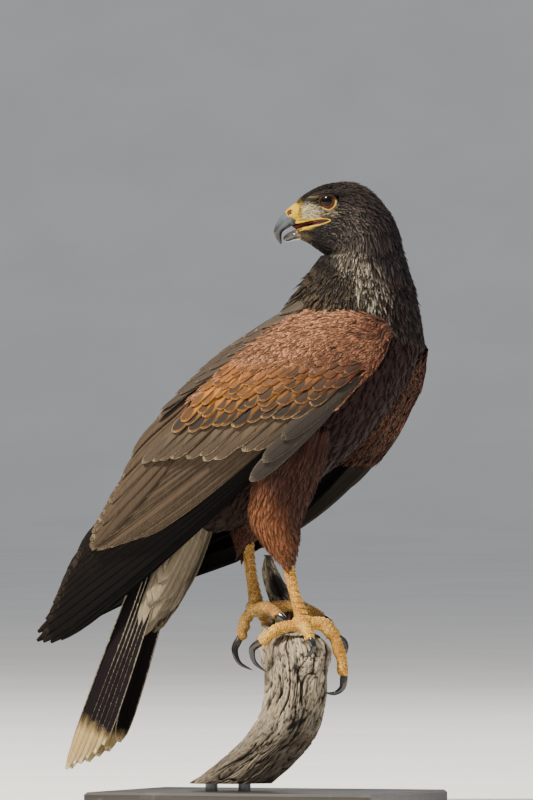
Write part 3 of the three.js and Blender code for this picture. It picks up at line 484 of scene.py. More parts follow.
class Tree:
    """A material's nodes, made and linked in short calls."""

    def __init__(self, name: str, roughness: float, **sockets: float) -> None:
        """Start a material.

        Args:
            name: The material's name.
            roughness: Its roughness.
            **sockets: Other values of the shader, by socket name with _ for a space.
        """
        self.material = bpy.data.materials.new(name)
        self.material.use_nodes = True
        self.nodes = self.material.node_tree.nodes
        self.links = self.material.node_tree.links
        self.shader = self.nodes["Principled BSDF"]
        self.shader.inputs["Roughness"].default_value = roughness
        for key, value in sockets.items():
            self.shader.inputs[key.replace("_", " ")].default_value = value

    def node(self, kind: str, **settings: object) -> bpy.types.Node:
        """Add a node and set what it has by name.

        Args:
            kind: The node's kind.
            **settings: What to set on it.

        Returns:
            The node.
        """
        made = self.nodes.new("ShaderNode" + kind)
        for key, value in settings.items():
            setattr(made, key, value)
        return made

    def feed(self, socket: Socket, value: object) -> None:
        """Link a socket to another, or set its value."""
        if isinstance(value, Socket):
            self.links.new(value, socket)
        else:
            socket.default_value = value

    def maths(self, operation: str, *values: object, clamp: bool = False) -> Socket:
        """Work out a number.

        Args:
            operation: The sum to do.
            *values: Sockets or numbers.
            clamp: Whether the result is kept from 0 to 1.

        Returns:
            The result.
        """
        made = self.node("Math", operation=operation, use_clamp=clamp)
        for socket, value in zip(made.inputs, values):
            self.feed(socket, value)
        return made.outputs[0]

    def step(self, value: object, low: float, high: float, first: float = 0.0, last: float = 1.0) -> Socket:
        """Rise smoothly from first to last while the value goes from low to high.

        Args:
            value: A socket or a number.
            low: Where the rise starts.
            high: Where it ends.
            first: What it rises from.
            last: What it rises to.

        Returns:
            The number.
        """
        made = self.node("MapRange", interpolation_type="SMOOTHSTEP")
        for socket, given in zip(made.inputs, (value, low, high, first, last)):
            self.feed(socket, given)
        return made.outputs[0]

    def blend(self, share: object, first: object, second: object, kind: str = "MIX") -> Socket:
        """Blend two colours.

        Args:
            share: How much of the second.
            first: One colour.
            second: The other.
            kind: How they are blended.

        Returns:
            The colour.
        """
        made = self.node("Mix", data_type="RGBA", blend_type=kind)
        self.feed(made.inputs[0], share)
        self.feed(made.inputs[6], first)
        self.feed(made.inputs[7], second)
        return made.outputs[2]

    def attribute(self, name: str) -> Socket:
        """Read a colour given to the piece's points."""
        return self.node("Attribute", attribute_name=name).outputs["Color"]

    def number(self, name: str) -> Socket:
        """Read a number given to the piece's points."""
        return self.node("Attribute", attribute_name=name).outputs["Fac"]

    def spot(self, name: str = "") -> Socket:
        """Read the place on the piece, in metres, or on one of its maps."""
        if name:
            return self.node("UVMap", uv_map=name).outputs[0]
        return self.node("TexCoord").outputs["Object"]

    def scaled(self, vector: Socket, scale: Sequence[float]) -> Socket:
        """Stretch a place.

        Args:
            vector: A place.
            scale: By how much on each axis.

        Returns:
            The stretched place.
        """
        made = self.node("VectorMath", operation="MULTIPLY")
        self.feed(made.inputs[0], vector)
        made.inputs[1].default_value = scale
        return made.outputs[0]

    def noise(self, vector: object, scale: float, detail: float = 3.0, rough: float = 0.55) -> Socket:
        """Read soft noise, from about 0 to 1.

        Args:
            vector: A place.
            scale: How fine it is.
            detail: How many layers it has.
            rough: How strong the fine layers are.

        Returns:
            The number.
        """
        made = self.node("TexNoise")
        self.feed(made.inputs["Vector"], vector)
        made.inputs["Scale"].default_value = scale
        made.inputs["Detail"].default_value = detail
        made.inputs["Roughness"].default_value = rough
        return made.outputs["Fac"]

    def cells(self, vector: object, scale: float, feature: str = "F1") -> Socket:
        """Read the distance in a pattern of cells.

        Args:
            vector: A place.
            scale: How fine it is.
            feature: What is measured in it.

        Returns:
            The distance.
        """
        made = self.node("TexVoronoi", feature=feature)
        self.feed(made.inputs["Vector"], vector)
        made.inputs["Scale"].default_value = scale
        return made.outputs["Distance"]

    def parts(self, vector: Socket) -> Sequence[Socket]:
        """Split a place into its three numbers.

        Args:
            vector: A place.

        Returns:
            Its three numbers.
        """
        made = self.node("SeparateXYZ")
        self.feed(made.inputs[0], vector)
        return made.outputs

    def shaded(self, colour: object, light: object) -> Socket:
        """Make a colour lighter or darker by a number.

        Args:
            colour: The colour.
            light: The number.

        Returns:
            The new colour.
        """
        grey = self.node("CombineColor")
        for socket in grey.inputs[:3]:
            self.feed(socket, light)
        return self.blend(1.0, colour, grey.outputs[0], "MULTIPLY")

    def skin_colour(self, cloud: object, low: float, high: float, share: float) -> Socket:
        """Blend the piece's ground and fringe colours by soft noise."""
        return self.blend(
            self.step(cloud, low, high, 0.0, share), self.attribute("ground"), self.attribute("fringe")
        )

    def bump(self, height: object, strength: float, distance: float) -> None:
        """Raise the surface by a height, adding to any bump already there.

        Args:
            height: What to raise it by.
            strength: How strongly.
            distance: How far a height of 1 goes, in metres.
        """
        made = self.node("Bump")
        made.inputs["Strength"].default_value = strength
        made.inputs["Distance"].default_value = distance
        self.feed(made.inputs["Height"], height)
        before = self.shader.inputs["Normal"].links
        if before:
            self.links.new(before[0].from_socket, made.inputs["Normal"])
        self.links.new(made.outputs[0], self.shader.inputs["Normal"])

    def paint(self, colour: object) -> Material:
        """Set the surface's colour and give the material."""
        self.feed(self.shader.inputs["Base Color"], colour)
        return self.material


@dataclass(frozen=True)
class FeatherFinish:
    """Feathers: a ground colour, a fringe round each, a shaft and fine barbs."""

    name: str
    fringe_side: float = 0.62
    fringe_tip: float = 0.8
    fringe_share: float = 0.8
    shaft: float = 0.55
    barbs: float = 0.3
    roughness: float = 0.62
    sheen: float = 0.04
    core: bool = False
    tone: float = 0.6
    shine: float = 0.2
    edge_from: float = 0.45

    def make(self) -> Material:
        """Make the material.

        Returns:
            The material.
        """
        tree = Tree(self.name, self.roughness, Sheen_Weight=self.sheen, Specular_IOR_Level=self.shine)
        vane = tree.parts(tree.spot(VANE_MAP))
        across = tree.maths("ABSOLUTE", tree.maths("MULTIPLY_ADD", vane[0], 2.0, -1.0))
        along = vane[1]
        barb = tree.parts(tree.spot(BARB_MAP))
        away = tree.maths("ABSOLUTE", tree.maths("SUBTRACT", barb[0], tree.maths("ROUND", barb[0])))
        slant = tree.maths("MULTIPLY_ADD", away, -110.0, barb[1])
        place = tree.node("CombineXYZ")
        tree.feed(place.inputs[0], slant)
        tree.feed(place.inputs[1], tree.maths("MULTIPLY", away, 3.0))
        tree.feed(place.inputs[2], tree.maths("ROUND", barb[0]))
        fine = tree.noise(place.outputs[0], 1.3, 2.0)
        wide = tree.noise(place.outputs[0], 0.35, 2.0)
        ragged = tree.maths("MULTIPLY_ADD", tree.maths("SUBTRACT", fine, 0.5), 0.3, 0.0)
        side = tree.step(tree.maths("ADD", across, ragged), self.fringe_side, 1.0)
        side = tree.maths("MULTIPLY", side, tree.step(along, self.edge_from, self.edge_from + 0.35))
        tip = tree.step(tree.maths("ADD", along, tree.maths("MULTIPLY", ragged, 0.6)), self.fringe_tip, 1.0)
        edge = tree.maths("MULTIPLY", tree.maths("MAXIMUM", side, tip), self.fringe_share)
        ground = tree.attribute("ground")
        if self.core:
            round_ = tree.maths("MULTIPLY", across, across)
            far = tree.maths("MULTIPLY_ADD", tree.maths("SUBTRACT", along, 0.76), 3.2, 0.0)
            far = tree.maths("ADD", round_, tree.maths("MULTIPLY", far, far))
            far = tree.maths("ADD", tree.maths("SQRT", far), tree.maths("MULTIPLY", ragged, 0.5))
            ground = tree.blend(tree.step(far, 0.7, 0.88, 1.0, 0.0), ground, tree.attribute("core"))
        colour = tree.blend(edge, ground, tree.attribute("fringe"))
        shade = tree.maths("MULTIPLY_ADD", tree.maths("SUBTRACT", fine, 0.5), 2.0 * self.barbs, 1.0)
        shade = tree.maths("MULTIPLY", shade, tree.maths("MULTIPLY_ADD", wide, 0.5, 0.75))
        rib = tree.step(across, 0.02, 0.09, self.shaft, 1.0)
        shade = tree.maths("MULTIPLY", tree.maths("MULTIPLY", shade, rib), self.tone)
        tree.bump(fine, 0.35, 0.0004)
        return tree.paint(tree.shaded(colour, shade))


@dataclass(frozen=True)
class SkinFinish:
    """The skin under the coat, in the coat's own colours, bare and creased on the face."""

    name: str = "skin"

    def make(self) -> Material:
        """Make the material.

        Returns:
            The material.
        """
        tree = Tree(self.name, 0.6, Specular_IOR_Level=0.3)
        place = tree.spot()
        fleck = tree.noise(place, 900.0, 3.0)
        soft = tree.noise(place, 160.0, 2.0)
        colour = tree.shaded(tree.skin_colour(soft, 0.55, 0.8, 0.35), tree.step(fleck, 0.35, 0.7, 0.5, 0.8))
        tree.bump(fleck, 0.5, 0.0004)
        tree.bump(tree.cells(place, 700.0), 0.3, 0.0003)
        return tree.paint(colour)


@dataclass(frozen=True)
class HornFinish:
    """Bill and claw horn: one colour running into another, polished, with faint growth lines."""

    name: str
    roughness: float = 0.22
    coat: float = 0.4

    def make(self) -> Material:
        """Make the material.

        Returns:
            The material.
        """
        tree = Tree(self.name, self.roughness, Coat_Weight=self.coat, Coat_Roughness=0.15)
        place = tree.spot()
        lines = tree.noise(tree.scaled(place, (500.0, 500.0, 1500.0)), 1.0, 3.0)
        cloud = tree.noise(place, 260.0, 3.0)
        colour = tree.skin_colour(cloud, 0.3, 0.75, 0.35)
        colour = tree.blend(tree.step(lines, 0.3, 0.7, 0.25, 0.0), colour, (0.01, 0.01, 0.012, 1.0))
        tree.bump(lines, 0.15, 0.0002)
        return tree.paint(colour)


@dataclass(frozen=True)
class WaxFinish:
    """Bare waxy skin: cere, lids, gape and legs, with small scales and painted shade in the sunken gaps
    between them.
    """

    name: str
    cells: float
    relief: float
    roughness: float = 0.42
    gap_shade: Colour = (96, 66, 34)
    gap_shade_share: float = 0.4

    def make(self) -> Material:
        """Make the material.

        Returns:
            The material.
        """
        tree = Tree(self.name, self.roughness, Subsurface_Weight=0.05, Specular_IOR_Level=0.25)
        tree.shader.inputs["Subsurface Radius"].default_value = (0.004, 0.002, 0.001)
        tree.shader.inputs["Subsurface Scale"].default_value = 0.3
        place = tree.spot()
        gap = tree.step(tree.cells(place, self.cells, "DISTANCE_TO_EDGE"), 0.0, 0.16)
        cloud = tree.noise(place, 170.0, 4.0)
        colour = tree.skin_colour(cloud, 0.35, 0.75, 0.6)
        # The sunken gaps between the scales are blended toward a dark brown: painted shade in the gaps.
        colour = tree.blend(
            tree.maths("MULTIPLY_ADD", gap, -self.gap_shade_share, self.gap_shade_share), colour, rgba(self.gap_shade)
        )
        tree.bump(gap, 0.6, self.relief)
        tree.bump(cloud, 0.3, 0.0004)
        return tree.paint(colour)


@dataclass(frozen=True)
class EyeFinish:
    """The eye: a black pupil in a red-brown iris, darker at its rim and painted dark over its upper part as
    shade from the brow, under a wet clear skin.
    """

    name: str = "eye"
    pupil: float = 0.44
    iris: float = 0.78

    def make(self) -> Material:
        """Make the material.

        Returns:
            The material.
        """
        tree = Tree(self.name, 0.25, Coat_Weight=0.22, Coat_Roughness=0.02, Specular_IOR_Level=0.1)
        away = tree.number("away")
        spokes = tree.noise(tree.spot(), 1500.0, 4.0)
        inner = tree.blend(tree.step(spokes, 0.35, 0.7), rgba((58, 26, 14)), rgba((100, 50, 27)))
        colour = tree.blend(tree.step(away, self.pupil + 0.05, self.iris), inner, rgba((132, 68, 36)))
        # The upper part of the iris is blended toward near black: painted shade from the brow.
        colour = tree.blend(
            tree.step(tree.number("high"), -0.36, 0.06, 0.0, 0.92), colour, rgba((24, 10, 8))
        )
        colour = tree.blend(tree.step(away, self.iris - 0.08, self.iris + 0.1), colour, rgba((36, 16, 10)))
        colour = tree.blend(tree.step(away, self.pupil - 0.02, self.pupil + 0.03), rgba((6, 4, 4)), colour)
        return tree.paint(colour)


@dataclass(frozen=True)
class WoodFinish:
    """Bare weathered wood: silvery ridges and brown heartwood, with cracks darkened partly as their own dark
    wood and partly as painted shade, and painted shadow toward the bottom.
    """

    name: str = "weathered_wood"
    ridge: Colour = (196, 184, 158)
    grey: Colour = (112, 103, 92)
    crack: Colour = (36, 31, 29)
    heart: Colour = (112, 86, 60)

    def make(self) -> Material:
        """Make the material.

        Returns:
            The material.
        """
        tree = Tree(self.name, 0.85, Specular_IOR_Level=0.25)
        grain = tree.scaled(tree.spot(VANE_MAP), (34.0, 3.2, 1.0))
        fine = tree.noise(grain, 2.6, 6.0, 0.65)
        band = tree.noise(tree.scaled(tree.spot(VANE_MAP), (12.0, 1.6, 1.0)), 1.2, 4.0)
        cloud = tree.noise(tree.spot(), 38.0, 4.0)
        deep = tree.number("deep")
        colour = tree.blend(tree.step(fine, 0.36, 0.66), rgba(self.grey), rgba(self.ridge))
        colour = tree.blend(tree.step(cloud, 0.52, 0.72, 0.0, 0.75), colour, rgba(self.heart))
        colour = tree.blend(tree.step(band, 0.3, 0.5, 0.55, 0.0), colour, rgba((74, 62, 58)))
        # Darker toward the bottom of the branch: painted shadow of the bird.
        low = tree.step(tree.parts(tree.spot())[2], 0.035, 0.1, 0.62, 0.0)
        colour = tree.blend(low, colour, rgba((52, 46, 44)))
        # Grooves are darkened by their depth: partly the cracks' own dark wood and partly painted shade in
        # them.
        hollow = tree.maths("ADD", deep, tree.step(fine, 0.2, 0.42, 0.45, 0.0), clamp=True)
        colour = tree.blend(tree.step(hollow, 0.12, 0.8), colour, rgba(self.crack))
        tree.bump(fine, 0.9, 0.0016)
        return tree.paint(colour)


@dataclass(frozen=True)
class StandFinish:
    """The stand: satin dark paint or plain steel, faintly streaked along the base."""

    name: str
    ground: Colour
    streak: Colour
    roughness: float
    metallic: float = 0.0

    def make(self) -> Material:
        """Make the material.

        Returns:
            The material.
        """
        tree = Tree(self.name, self.roughness, Coat_Weight=0.2, Coat_Roughness=0.3)
        tree.shader.inputs["Metallic"].default_value = self.metallic
        grain = tree.noise(tree.scaled(tree.spot(), (160.0, 14.0, 160.0)), 1.0, 5.0)
        wear = tree.noise(tree.spot(), 60.0, 4.0)
        colour = tree.blend(tree.step(grain, 0.3, 0.72), rgba(self.ground), rgba(self.streak))
        colour = tree.blend(tree.step(wear, 0.55, 0.8, 0.0, 0.2), colour, rgba((150, 138, 124)))
        tree.bump(grain, 0.2, 0.0003)
        return tree.paint(colour)


@dataclass(frozen=True)
class StudioFinish:
    """The pale floor and its seamless rise."""

    name: str = "studio"
    tone: Colour = (246, 246, 246)

    def make(self) -> Material:
        """Make the material.

        Returns:
            The material.
        """
        tree = Tree(self.name, 0.9, Specular_IOR_Level=0.1)
        cloud = tree.noise(tree.spot(), 3.0, 3.0)
        return tree.paint(tree.blend(tree.step(cloud, 0.3, 0.7), rgba(self.tone), rgba((240, 240, 241))))


# Feathers


@dataclass(frozen=True)
class Outline:
    """A feather's half-width along its length, as a share of its widest."""

    points: tuple[tuple[float, float], ...]

    def at(self, t: Array) -> Array:
        """Read the share at each place along the feather."""
        return Graph(self.points)(t)


ROUNDED = Outline(((0, 0.35), (0.25, 0.8), (0.55, 1), (0.8, 0.94), (0.93, 0.68), (1, 0.2)))
SCALLOP = Outline(((0, 0.4), (0.3, 0.85), (0.65, 1), (0.86, 0.92), (0.96, 0.62), (1, 0.22)))
BLUNT = Outline(((0, 0.4), (0.2, 0.8), (0.45, 1), (0.8, 0.98), (0.95, 0.72), (1, 0.25)))
FINGER = Outline(((0, 0.4), (0.25, 0.9), (0.7, 1), (0.88, 0.84), (0.96, 0.55), (1, 0.15)))
POINTED = Outline(((0, 0.4), (0.25, 0.9), (0.55, 1), (0.8, 0.74), (0.93, 0.42), (1, 0.08)))
LOCK = Outline(((0, 0.5), (0.4, 1), (0.75, 0.7), (1, 0.06)))


@dataclass
class Vanes:
    """Many feathers of one build, as thin closed blades.

    Each is a row of stations with a middle point, a direction across and a direction out.
    """

    middle: Array
    across: Array
    out: Array
    half: Array
    ground: Array
    fringe: Array
    bake: Array
    places: int = 5
    camber: float = 0.22
    thickness: float = 0.35
    cell: tuple[float, float] = (TUFT_PATCH, TUFT_PATCH)
    seed: int = 1
    core: Array | None = None

    def arrays(self) -> dict[str, Array]:
        """Work out the points, faces and maps of all the feathers.

        Returns:
            Arrays by name: points, quads, ground, fringe, core, vane, barb and bake.
        """
        count, stations = self.half.shape
        u = np.linspace(-1, 1, self.places)
        steps = np.linalg.norm(np.diff(self.middle, axis=1), axis=-1)
        t = np.r_[0, np.cumsum(steps.mean(0))] / steps.mean(0).sum()
        rng = np.random.default_rng(self.seed)
        crown = 1 - u**2
        rise = self.half[..., None] * (-self.camber * u**2)
        thick = self.thickness * 0.5 * crown
        base = self.middle[:, :, None] + self.across[:, :, None] * (self.half[..., None] * u)[..., None]
        lift = self.out[:, :, None]
        upper = base + lift * (rise + thick)[..., None]
        lower = base + lift * (rise - thick)[..., None]
        lower = lower[:, 1:-1, 1:-1]
        upper_count = stations * self.places
        index = np.arange(upper_count).reshape(stations, self.places)
        under = index.copy()
        under[1:-1, 1:-1] = upper_count + np.arange(
            (stations - 2) * (self.places - 2)
        ).reshape(stations - 2, -1)
        quads = []
        for grid, flip in ((index, False), (under, True)):
            quad = np.stack([grid[:-1, :-1], grid[:-1, 1:], grid[1:, 1:], grid[1:, :-1]], -1).reshape(-1, 4)
            quads.append(quad[:, ::-1] if flip else quad)
        quads = np.concatenate(quads)
        size = upper_count + lower.shape[1] * lower.shape[2]
        points = np.concatenate([upper.reshape(count, -1, 3), lower.reshape(count, -1, 3)], 1)
        grid_u, grid_t = np.meshgrid(u, t)

        def spread(values: Array) -> Array:
            """Give both faces a value known on the upper one.

            Args:
                values: Values by feather, station and place across.

            Returns:
                The values for the points of both faces.
            """
            values = np.broadcast_to(values, (count, stations, self.places, values.shape[-1]))
            inner = values[:, 1:-1, 1:-1]
            return np.concatenate(
                [values.reshape(count, upper_count, -1), inner.reshape(count, -1, values.shape[-1])], 1
            )

        ground = self.ground if self.ground.ndim == 4 else self.ground[:, None, None]
        core = ground if self.core is None else self.core[:, None, None]
        vane = np.stack([grid_u * 0.5 + 0.5, grid_t], -1)[None]
        length = np.linalg.norm(np.diff(self.middle, axis=1), axis=-1).sum(1)
        mark = rng.integers(1, 60, count).astype(float)
        barb_x = mark[:, None, None] + self.half[..., None] * u * 0.01
        barb_y = np.broadcast_to(t[None, :, None] * length[:, None, None], barb_x.shape)
        patch = np.stack([grid_u * 0.5 * self.cell[0], (grid_t - 0.5) * self.cell[1]], -1)[None]
        return {
            "points": points.reshape(-1, 3),
            "quads": (quads[None] + (np.arange(count) * size)[:, None, None]).reshape(-1, 4),
            "ground": spread(ground).reshape(-1, 3),
            "fringe": spread(self.fringe[:, None, None]).reshape(-1, 3),
            "core": spread(core).reshape(-1, 3),
            "vane": spread(vane).reshape(-1, 2),
            "barb": spread(np.stack([barb_x, barb_y], -1)).reshape(-1, 2),
            "bake": spread(self.bake[:, None, None] + patch).reshape(-1, 2),
        }


def coat_piece(name: str, batches: Sequence[Vanes], finish: Material) -> Piece:
    """Make one object of several lots of feathers.

    Args:
        name: The object's name.
        batches: The feathers.
        finish: Their material.

    Returns:
        The object, with its maps and colours.
    """
    parts = [b.arrays() for b in batches]
    offsets = np.r_[0, np.cumsum([len(p["points"]) for p in parts])[:-1]]
    joined = {key: np.concatenate([p[key] for p in parts]) for key in parts[0] if key != "quads"}
    quads = np.concatenate([p["quads"] + o for p, o in zip(parts, offsets)])
    piece = Shell(joined["points"], quads).build(name, finish)
    set_map(piece, BAKE_MAP, joined["bake"])
    set_map(piece, VANE_MAP, joined["vane"])
    set_map(piece, BARB_MAP, joined["barb"])
    tint(piece, joined["ground"], joined["fringe"])
    if any(b.core is not None for b in batches):
        set_colour(piece, "core", joined["core"])
    return piece


@dataclass
class Surface:
    """A round form as a grid of points: rows along the lie of its feathers, closed around."""

    rings: Array
    row_step: float = 0.004
    turn_step: float = 0.006

    def at(self, row: Array, turn: Array) -> Array:
        """Read places on the form, going straight on past its ends.

        Args:
            row: Places along, from 0 to 1.
            turn: Places around, from 0 to 1.

        Returns:
            Points.
        """
        count, sides = self.rings.shape[:2]
        v = np.asarray(row, float) * (count - 1)
        i = np.clip(np.floor(v).astype(int), 0, count - 2)
        s = (v - i)[..., None]
        w = (np.asarray(turn, float) % 1) * sides
        j = np.floor(w).astype(int) % sides
        r = (w - np.floor(w))[..., None]
        k = (j + 1) % sides
        first = self.rings[i, j] * (1 - r) + self.rings[i, k] * r
        second = self.rings[i + 1, j] * (1 - r) + self.rings[i + 1, k] * r
        return first * (1 - s) + second * s

    def basis(self, row: Array, turn: Array) -> tuple[Array, Array, Array]:
        """Give the directions along, around and out at places on the form.

        Args:
            row: Places along, from 0 to 1.
            turn: Places around, from 0 to 1.

        Returns:
            The step along for each unit of row, and the directions around and out.
        """
        row = np.clip(row, self.row_step, 1 - self.row_step)
        along = self.at(row + self.row_step, turn) - self.at(row - self.row_step, turn)
        around = self.at(row, turn + self.turn_step) - self.at(row, turn - self.turn_step)
        centre = self.rings.mean(1)
        spot = row * (len(centre) - 1)
        middle = np.stack([np.interp(spot, np.arange(len(centre)), centre[:, n]) for n in range(3)], -1)
        out = facing(unit(np.cross(around, along)), self.at(row, turn) - middle)
        return along / (2 * self.row_step), unit(around), out

    def seeds(self, spacing: float, rng: np.random.Generator, stagger: float = 0.5) -> tuple[Array, Array]:
        """Spread feather roots over the form, staggered from row to row.

        Args:
            spacing: About how far apart they are.
            rng: Where chance comes from.
            stagger: How much each root strays.

        Returns:
            Their rows and turns.
        """
        lengths = np.linalg.norm(np.diff(self.rings, axis=0), axis=-1).sum(0)
        rows = max(int(lengths.max() / spacing), 2)
        found = []
        for n in range(rows):
            row = (n + 0.5) / rows
            ring = self.at(np.full(96, row), np.arange(96) / 96)
            around = np.linalg.norm(ring - np.roll(ring, 1, axis=0), axis=1).sum()
            count = max(int(around / spacing), 3)
            turn = (np.arange(count) + 0.5 * (n % 2)) / count
            turn = turn + rng.uniform(-stagger, stagger, count) * 0.6 / count
            spread = row + rng.uniform(-stagger, stagger, count) * 0.8 / rows
            found.append(np.stack([spread, turn], -1))
        row, turn = np.concatenate(found).T
        along = np.linalg.norm(self.basis(row, turn)[0], axis=-1)
        keep = rng.uniform(size=len(row)) < along / lengths.max() * 1.15
        return row[keep], turn[keep]


@dataclass(frozen=True)
class Marking:
    """A soft patch of colour on the bird."""

    centre: tuple[float, float, float]
    reach: tuple[float, float, float]
    ground: Colour
    fringe: Colour
    soft: float = 0.45
    strength: float = 1.0


@dataclass(frozen=True)
class Coat:
    """The markings of the body, laid over one another in order; left and right are alike."""

    ground: Colour
    fringe: Colour
    marks: tuple[Marking, ...] = ()

    def at(self, points: Array) -> tuple[Array, Array]:
        """Read the ground and fringe colours at places on the bird.

        Args:
            points: Places in the scene's frame, in millimetres.

        Returns:
            Linear ground and fringe colours.
        """
        f, l, z = BASE_CENTRE_F - points[..., 1], np.abs(points[..., 0]), points[..., 2]
        ground = np.broadcast_to(linear(self.ground), points.shape).copy()
        fringe = np.broadcast_to(linear(self.fringe), points.shape).copy()
        for mark in self.marks:
            far = sum(((v - c) / r) ** 2 for v, c, r in zip((f, l, z), mark.centre, mark.reach)) ** 0.5
            share = (mark.strength * (1 - smooth(1 - mark.soft, 1 + mark.soft, far)))[..., None]
            ground = mix(ground, linear(mark.ground), share)
            fringe = mix(fringe, linear(mark.fringe), share)
        return ground, fringe


@dataclass(frozen=True)
class Plumage:
    """How the small feathers of one part lie: their size, how close they sit and how loosely."""

    spacing: float
    length: float
    half: float
    depth: float
    outline: Outline = ROUNDED
    stations: int = 5
    places: int = 5
    loose: float = 0.12
    lift: float = 0.0
    camber: float = 0.3
    shade: float = 0.16
    seed: int = 5
    rock: float = 0.12
    stray: float = 0.5

    def grow(
        self,
        surface: Surface,
        coat: Coat,
        unwrap: ByPlace,
        keep: ByPlace | None = None,
        size: ByPlace | None = None,
    ) -> Vanes:
        """Grow the feathers on a form.

        Args:
            surface: The outside of the coat; roots lie below it by the coat's depth.
            coat: The markings.
            unwrap: Gives a place's spot on the bake map.
            keep: Says which roots to keep, by their places.
            size: Scales each feather, by its place.

        Returns:
            The feathers.
        """
        rng = np.random.default_rng(self.seed)
        row, turn = surface.seeds(self.spacing, rng, self.stray)
        roots = surface.at(row, turn)
        if keep is not None:
            kept = keep(roots)
            row, turn, roots = row[kept], turn[kept], roots[kept]
        count = len(row)
        scale = np.ones(count) if size is None else size(roots)
        length = self.length * scale * rng.uniform(0.85, 1.15, count)
        t = np.linspace(0, 1, self.stations)
        pace = np.linalg.norm(surface.basis(row, turn)[0], axis=-1)
        stray = rng.normal(0, self.loose, count)
        girth = np.linalg.norm(surface.at(row, turn + 0.01) - surface.at(row, turn - 0.01), axis=-1) / 0.02
        rows = row[:, None] + t * (length * np.cos(stray) / pace)[:, None]
        turns = turn[:, None] + t * (length * np.sin(stray) / girth)[:, None]
        places = surface.at(rows, turns)
        out = surface.basis(rows, turns)[2]
        height = -self.depth * (1 - t) ** 0.8 * 0.92 + t * rng.uniform(-0.25, 0.25, count)[:, None]
        height = height + self.lift * t**2 * rng.uniform(0, 1, count)[:, None] * self.depth
        middle = places + out * height[..., None] * np.minimum(scale, 1)[:, None, None]
        ahead = unit(np.gradient(middle, axis=1))
        across = unit(np.cross(ahead, out))
        tilt = rng.normal(0, self.rock, count)[:, None, None]
        across = unit(across + out * tilt)
        normal = facing(unit(np.cross(across, ahead)), out)
        half = self.half * scale[:, None] * self.outline.at(t)[None] * rng.uniform(0.88, 1.12, (count, 1))
        ground, fringe = coat.at(roots)
        tone = 1 + rng.normal(0, self.shade, (count, 1))
        pale = np.clip(1 + 1.4 * (tone - 1), 0.35, 1.5)
        warm = 1 + rng.normal(0, 0.04, (count, 3))
        return Vanes(
            middle, across, normal, half, ground * tone.clip(0.5, 1.7) * warm, fringe * pale,
            unwrap(roots), self.places, self.camber, seed=self.seed,
        )


# Body


@dataclass(frozen=True)
class Station:
    """An egg-shaped ring through a back point and a belly point; full moves its widest place."""

    back: tuple[float, float]
    belly: tuple[float, float]
    half: float
    full: float = 0.0

    def ring(self, place: Place, sides: int, grow: float = 0.0) -> Array:
        """Give the ring's points.

        Args:
            place: The frame that the station is given in.
            sides: How many points.
            grow: How far outside the station it lies.

        Returns:
            The points, from the back round by the left.
        """
        back, belly = np.array(self.back), np.array(self.belly)
        stretch = 1 + 2 * grow / np.hypot(*(back - belly))
        middle, reach = (back + belly) / 2, (back - belly) / 2 * stretch
        angle = circle(sides)
        across = np.sin(angle) * (self.half + grow) * (1 + self.full * np.cos(angle))
        return place(middle[0] + reach[0] * np.cos(angle), across, middle[1] + reach[1] * np.cos(angle))


def rings_of(
    stations: Sequence[Station], place: Place, sides: int, grow: float | Sequence[float] = 0.0
) -> Array:
    """Give the rings of several stations."""
    grows = np.broadcast_to(np.asarray(grow, float), len(stations))
    return np.stack([s.ring(place, sides, g) for s, g in zip(stations, grows)])


TRUNK = (
    Station((22.5, 426), (100.5, 411), 37.5),
    Station((16, 418), (105, 388), 43),
    Station((9, 409), (107, 362), 48, 0.04),
    Station((-1, 396), (95, 332), 51, 0.06),
    Station((-14, 380), (74, 303), 51, 0.06),
    Station((-38, 356), (44, 274), 49, 0.06),
    Station((-63, 326), (6, 246), 44, 0.04),
    Station((-86, 292), (-32, 224), 35),
    Station((-100, 264), (-64, 216), 23),
    Station((-101, 246), (-81, 222), 12),
)
FACE_X = 27.0
SKULL = (
    Station((FACE_X, -1.6), (FACE_X - 1, -28.8), 8.8, -0.06),
    Station((22.7, 2.9), (21.5, -30), 11.6, -0.05),
    Station((16.5, 7.2), (15.5, -32.8), 13.8, -0.02),
    Station((9, 11.2), (10.5, -36.4), 15.4),
    Station((0.5, 13.8), (6.8, -39), 17, 0.02),
    Station((-10, 15), (5, -40.2), 19.2, 0.04),
    Station((-22, 13.8), (3.6, -40.9), 21.6, 0.06),
    Station((-34, 7.2), (2.4, -41.3), 23.4, 0.08),
    Station((-44, -4.6), (1, -41.6), 25.6, 0.08),
    Station((-51.6, -17), (-0.4, -41.9), 27.6, 0.04),
)
VENT = (
    Station((-78.3, 239.4), (-61.7, 232.6), 19),
    Station((-97, 210), (-73, 200), 18),
    Station((-110, 181), (-90, 171), 15),
    Station((-114, 168), (-100, 160), 9),
)


@dataclass(frozen=True)
class Collar:
    """The level ring where head and neck meet."""

    f: float = 61.0
    l: float = 0.6
    z: float = 434.0
    radius: float = 32.6

    def ring(self, place: Place, sides: int, drop: float = 0.0, grow: float = 0.0) -> Array:
        """Give the ring's points, from the back of the head or of the neck.

        Args:
            place: The head's frame or the bird's.
            sides: How many points.
            drop: How far below the collar.
            grow: How far outside it.

        Returns:
            The points.
        """
        x, y, z = self.f, self.l, self.z - drop
        if place is HEAD:
            x, y, z = HEAD.local(bird(x, y, z))
        angle = circle(sides)
        radius = self.radius + grow
        return place(x - radius * np.cos(angle), y + radius * np.sin(angle), z)


COLLAR = Collar()


THIGH_TOP = 262.0
THIGH_REACH = 34.0
THIGH_SIDES = (4.0, 60.0)
THIGH_BACK = -76.0


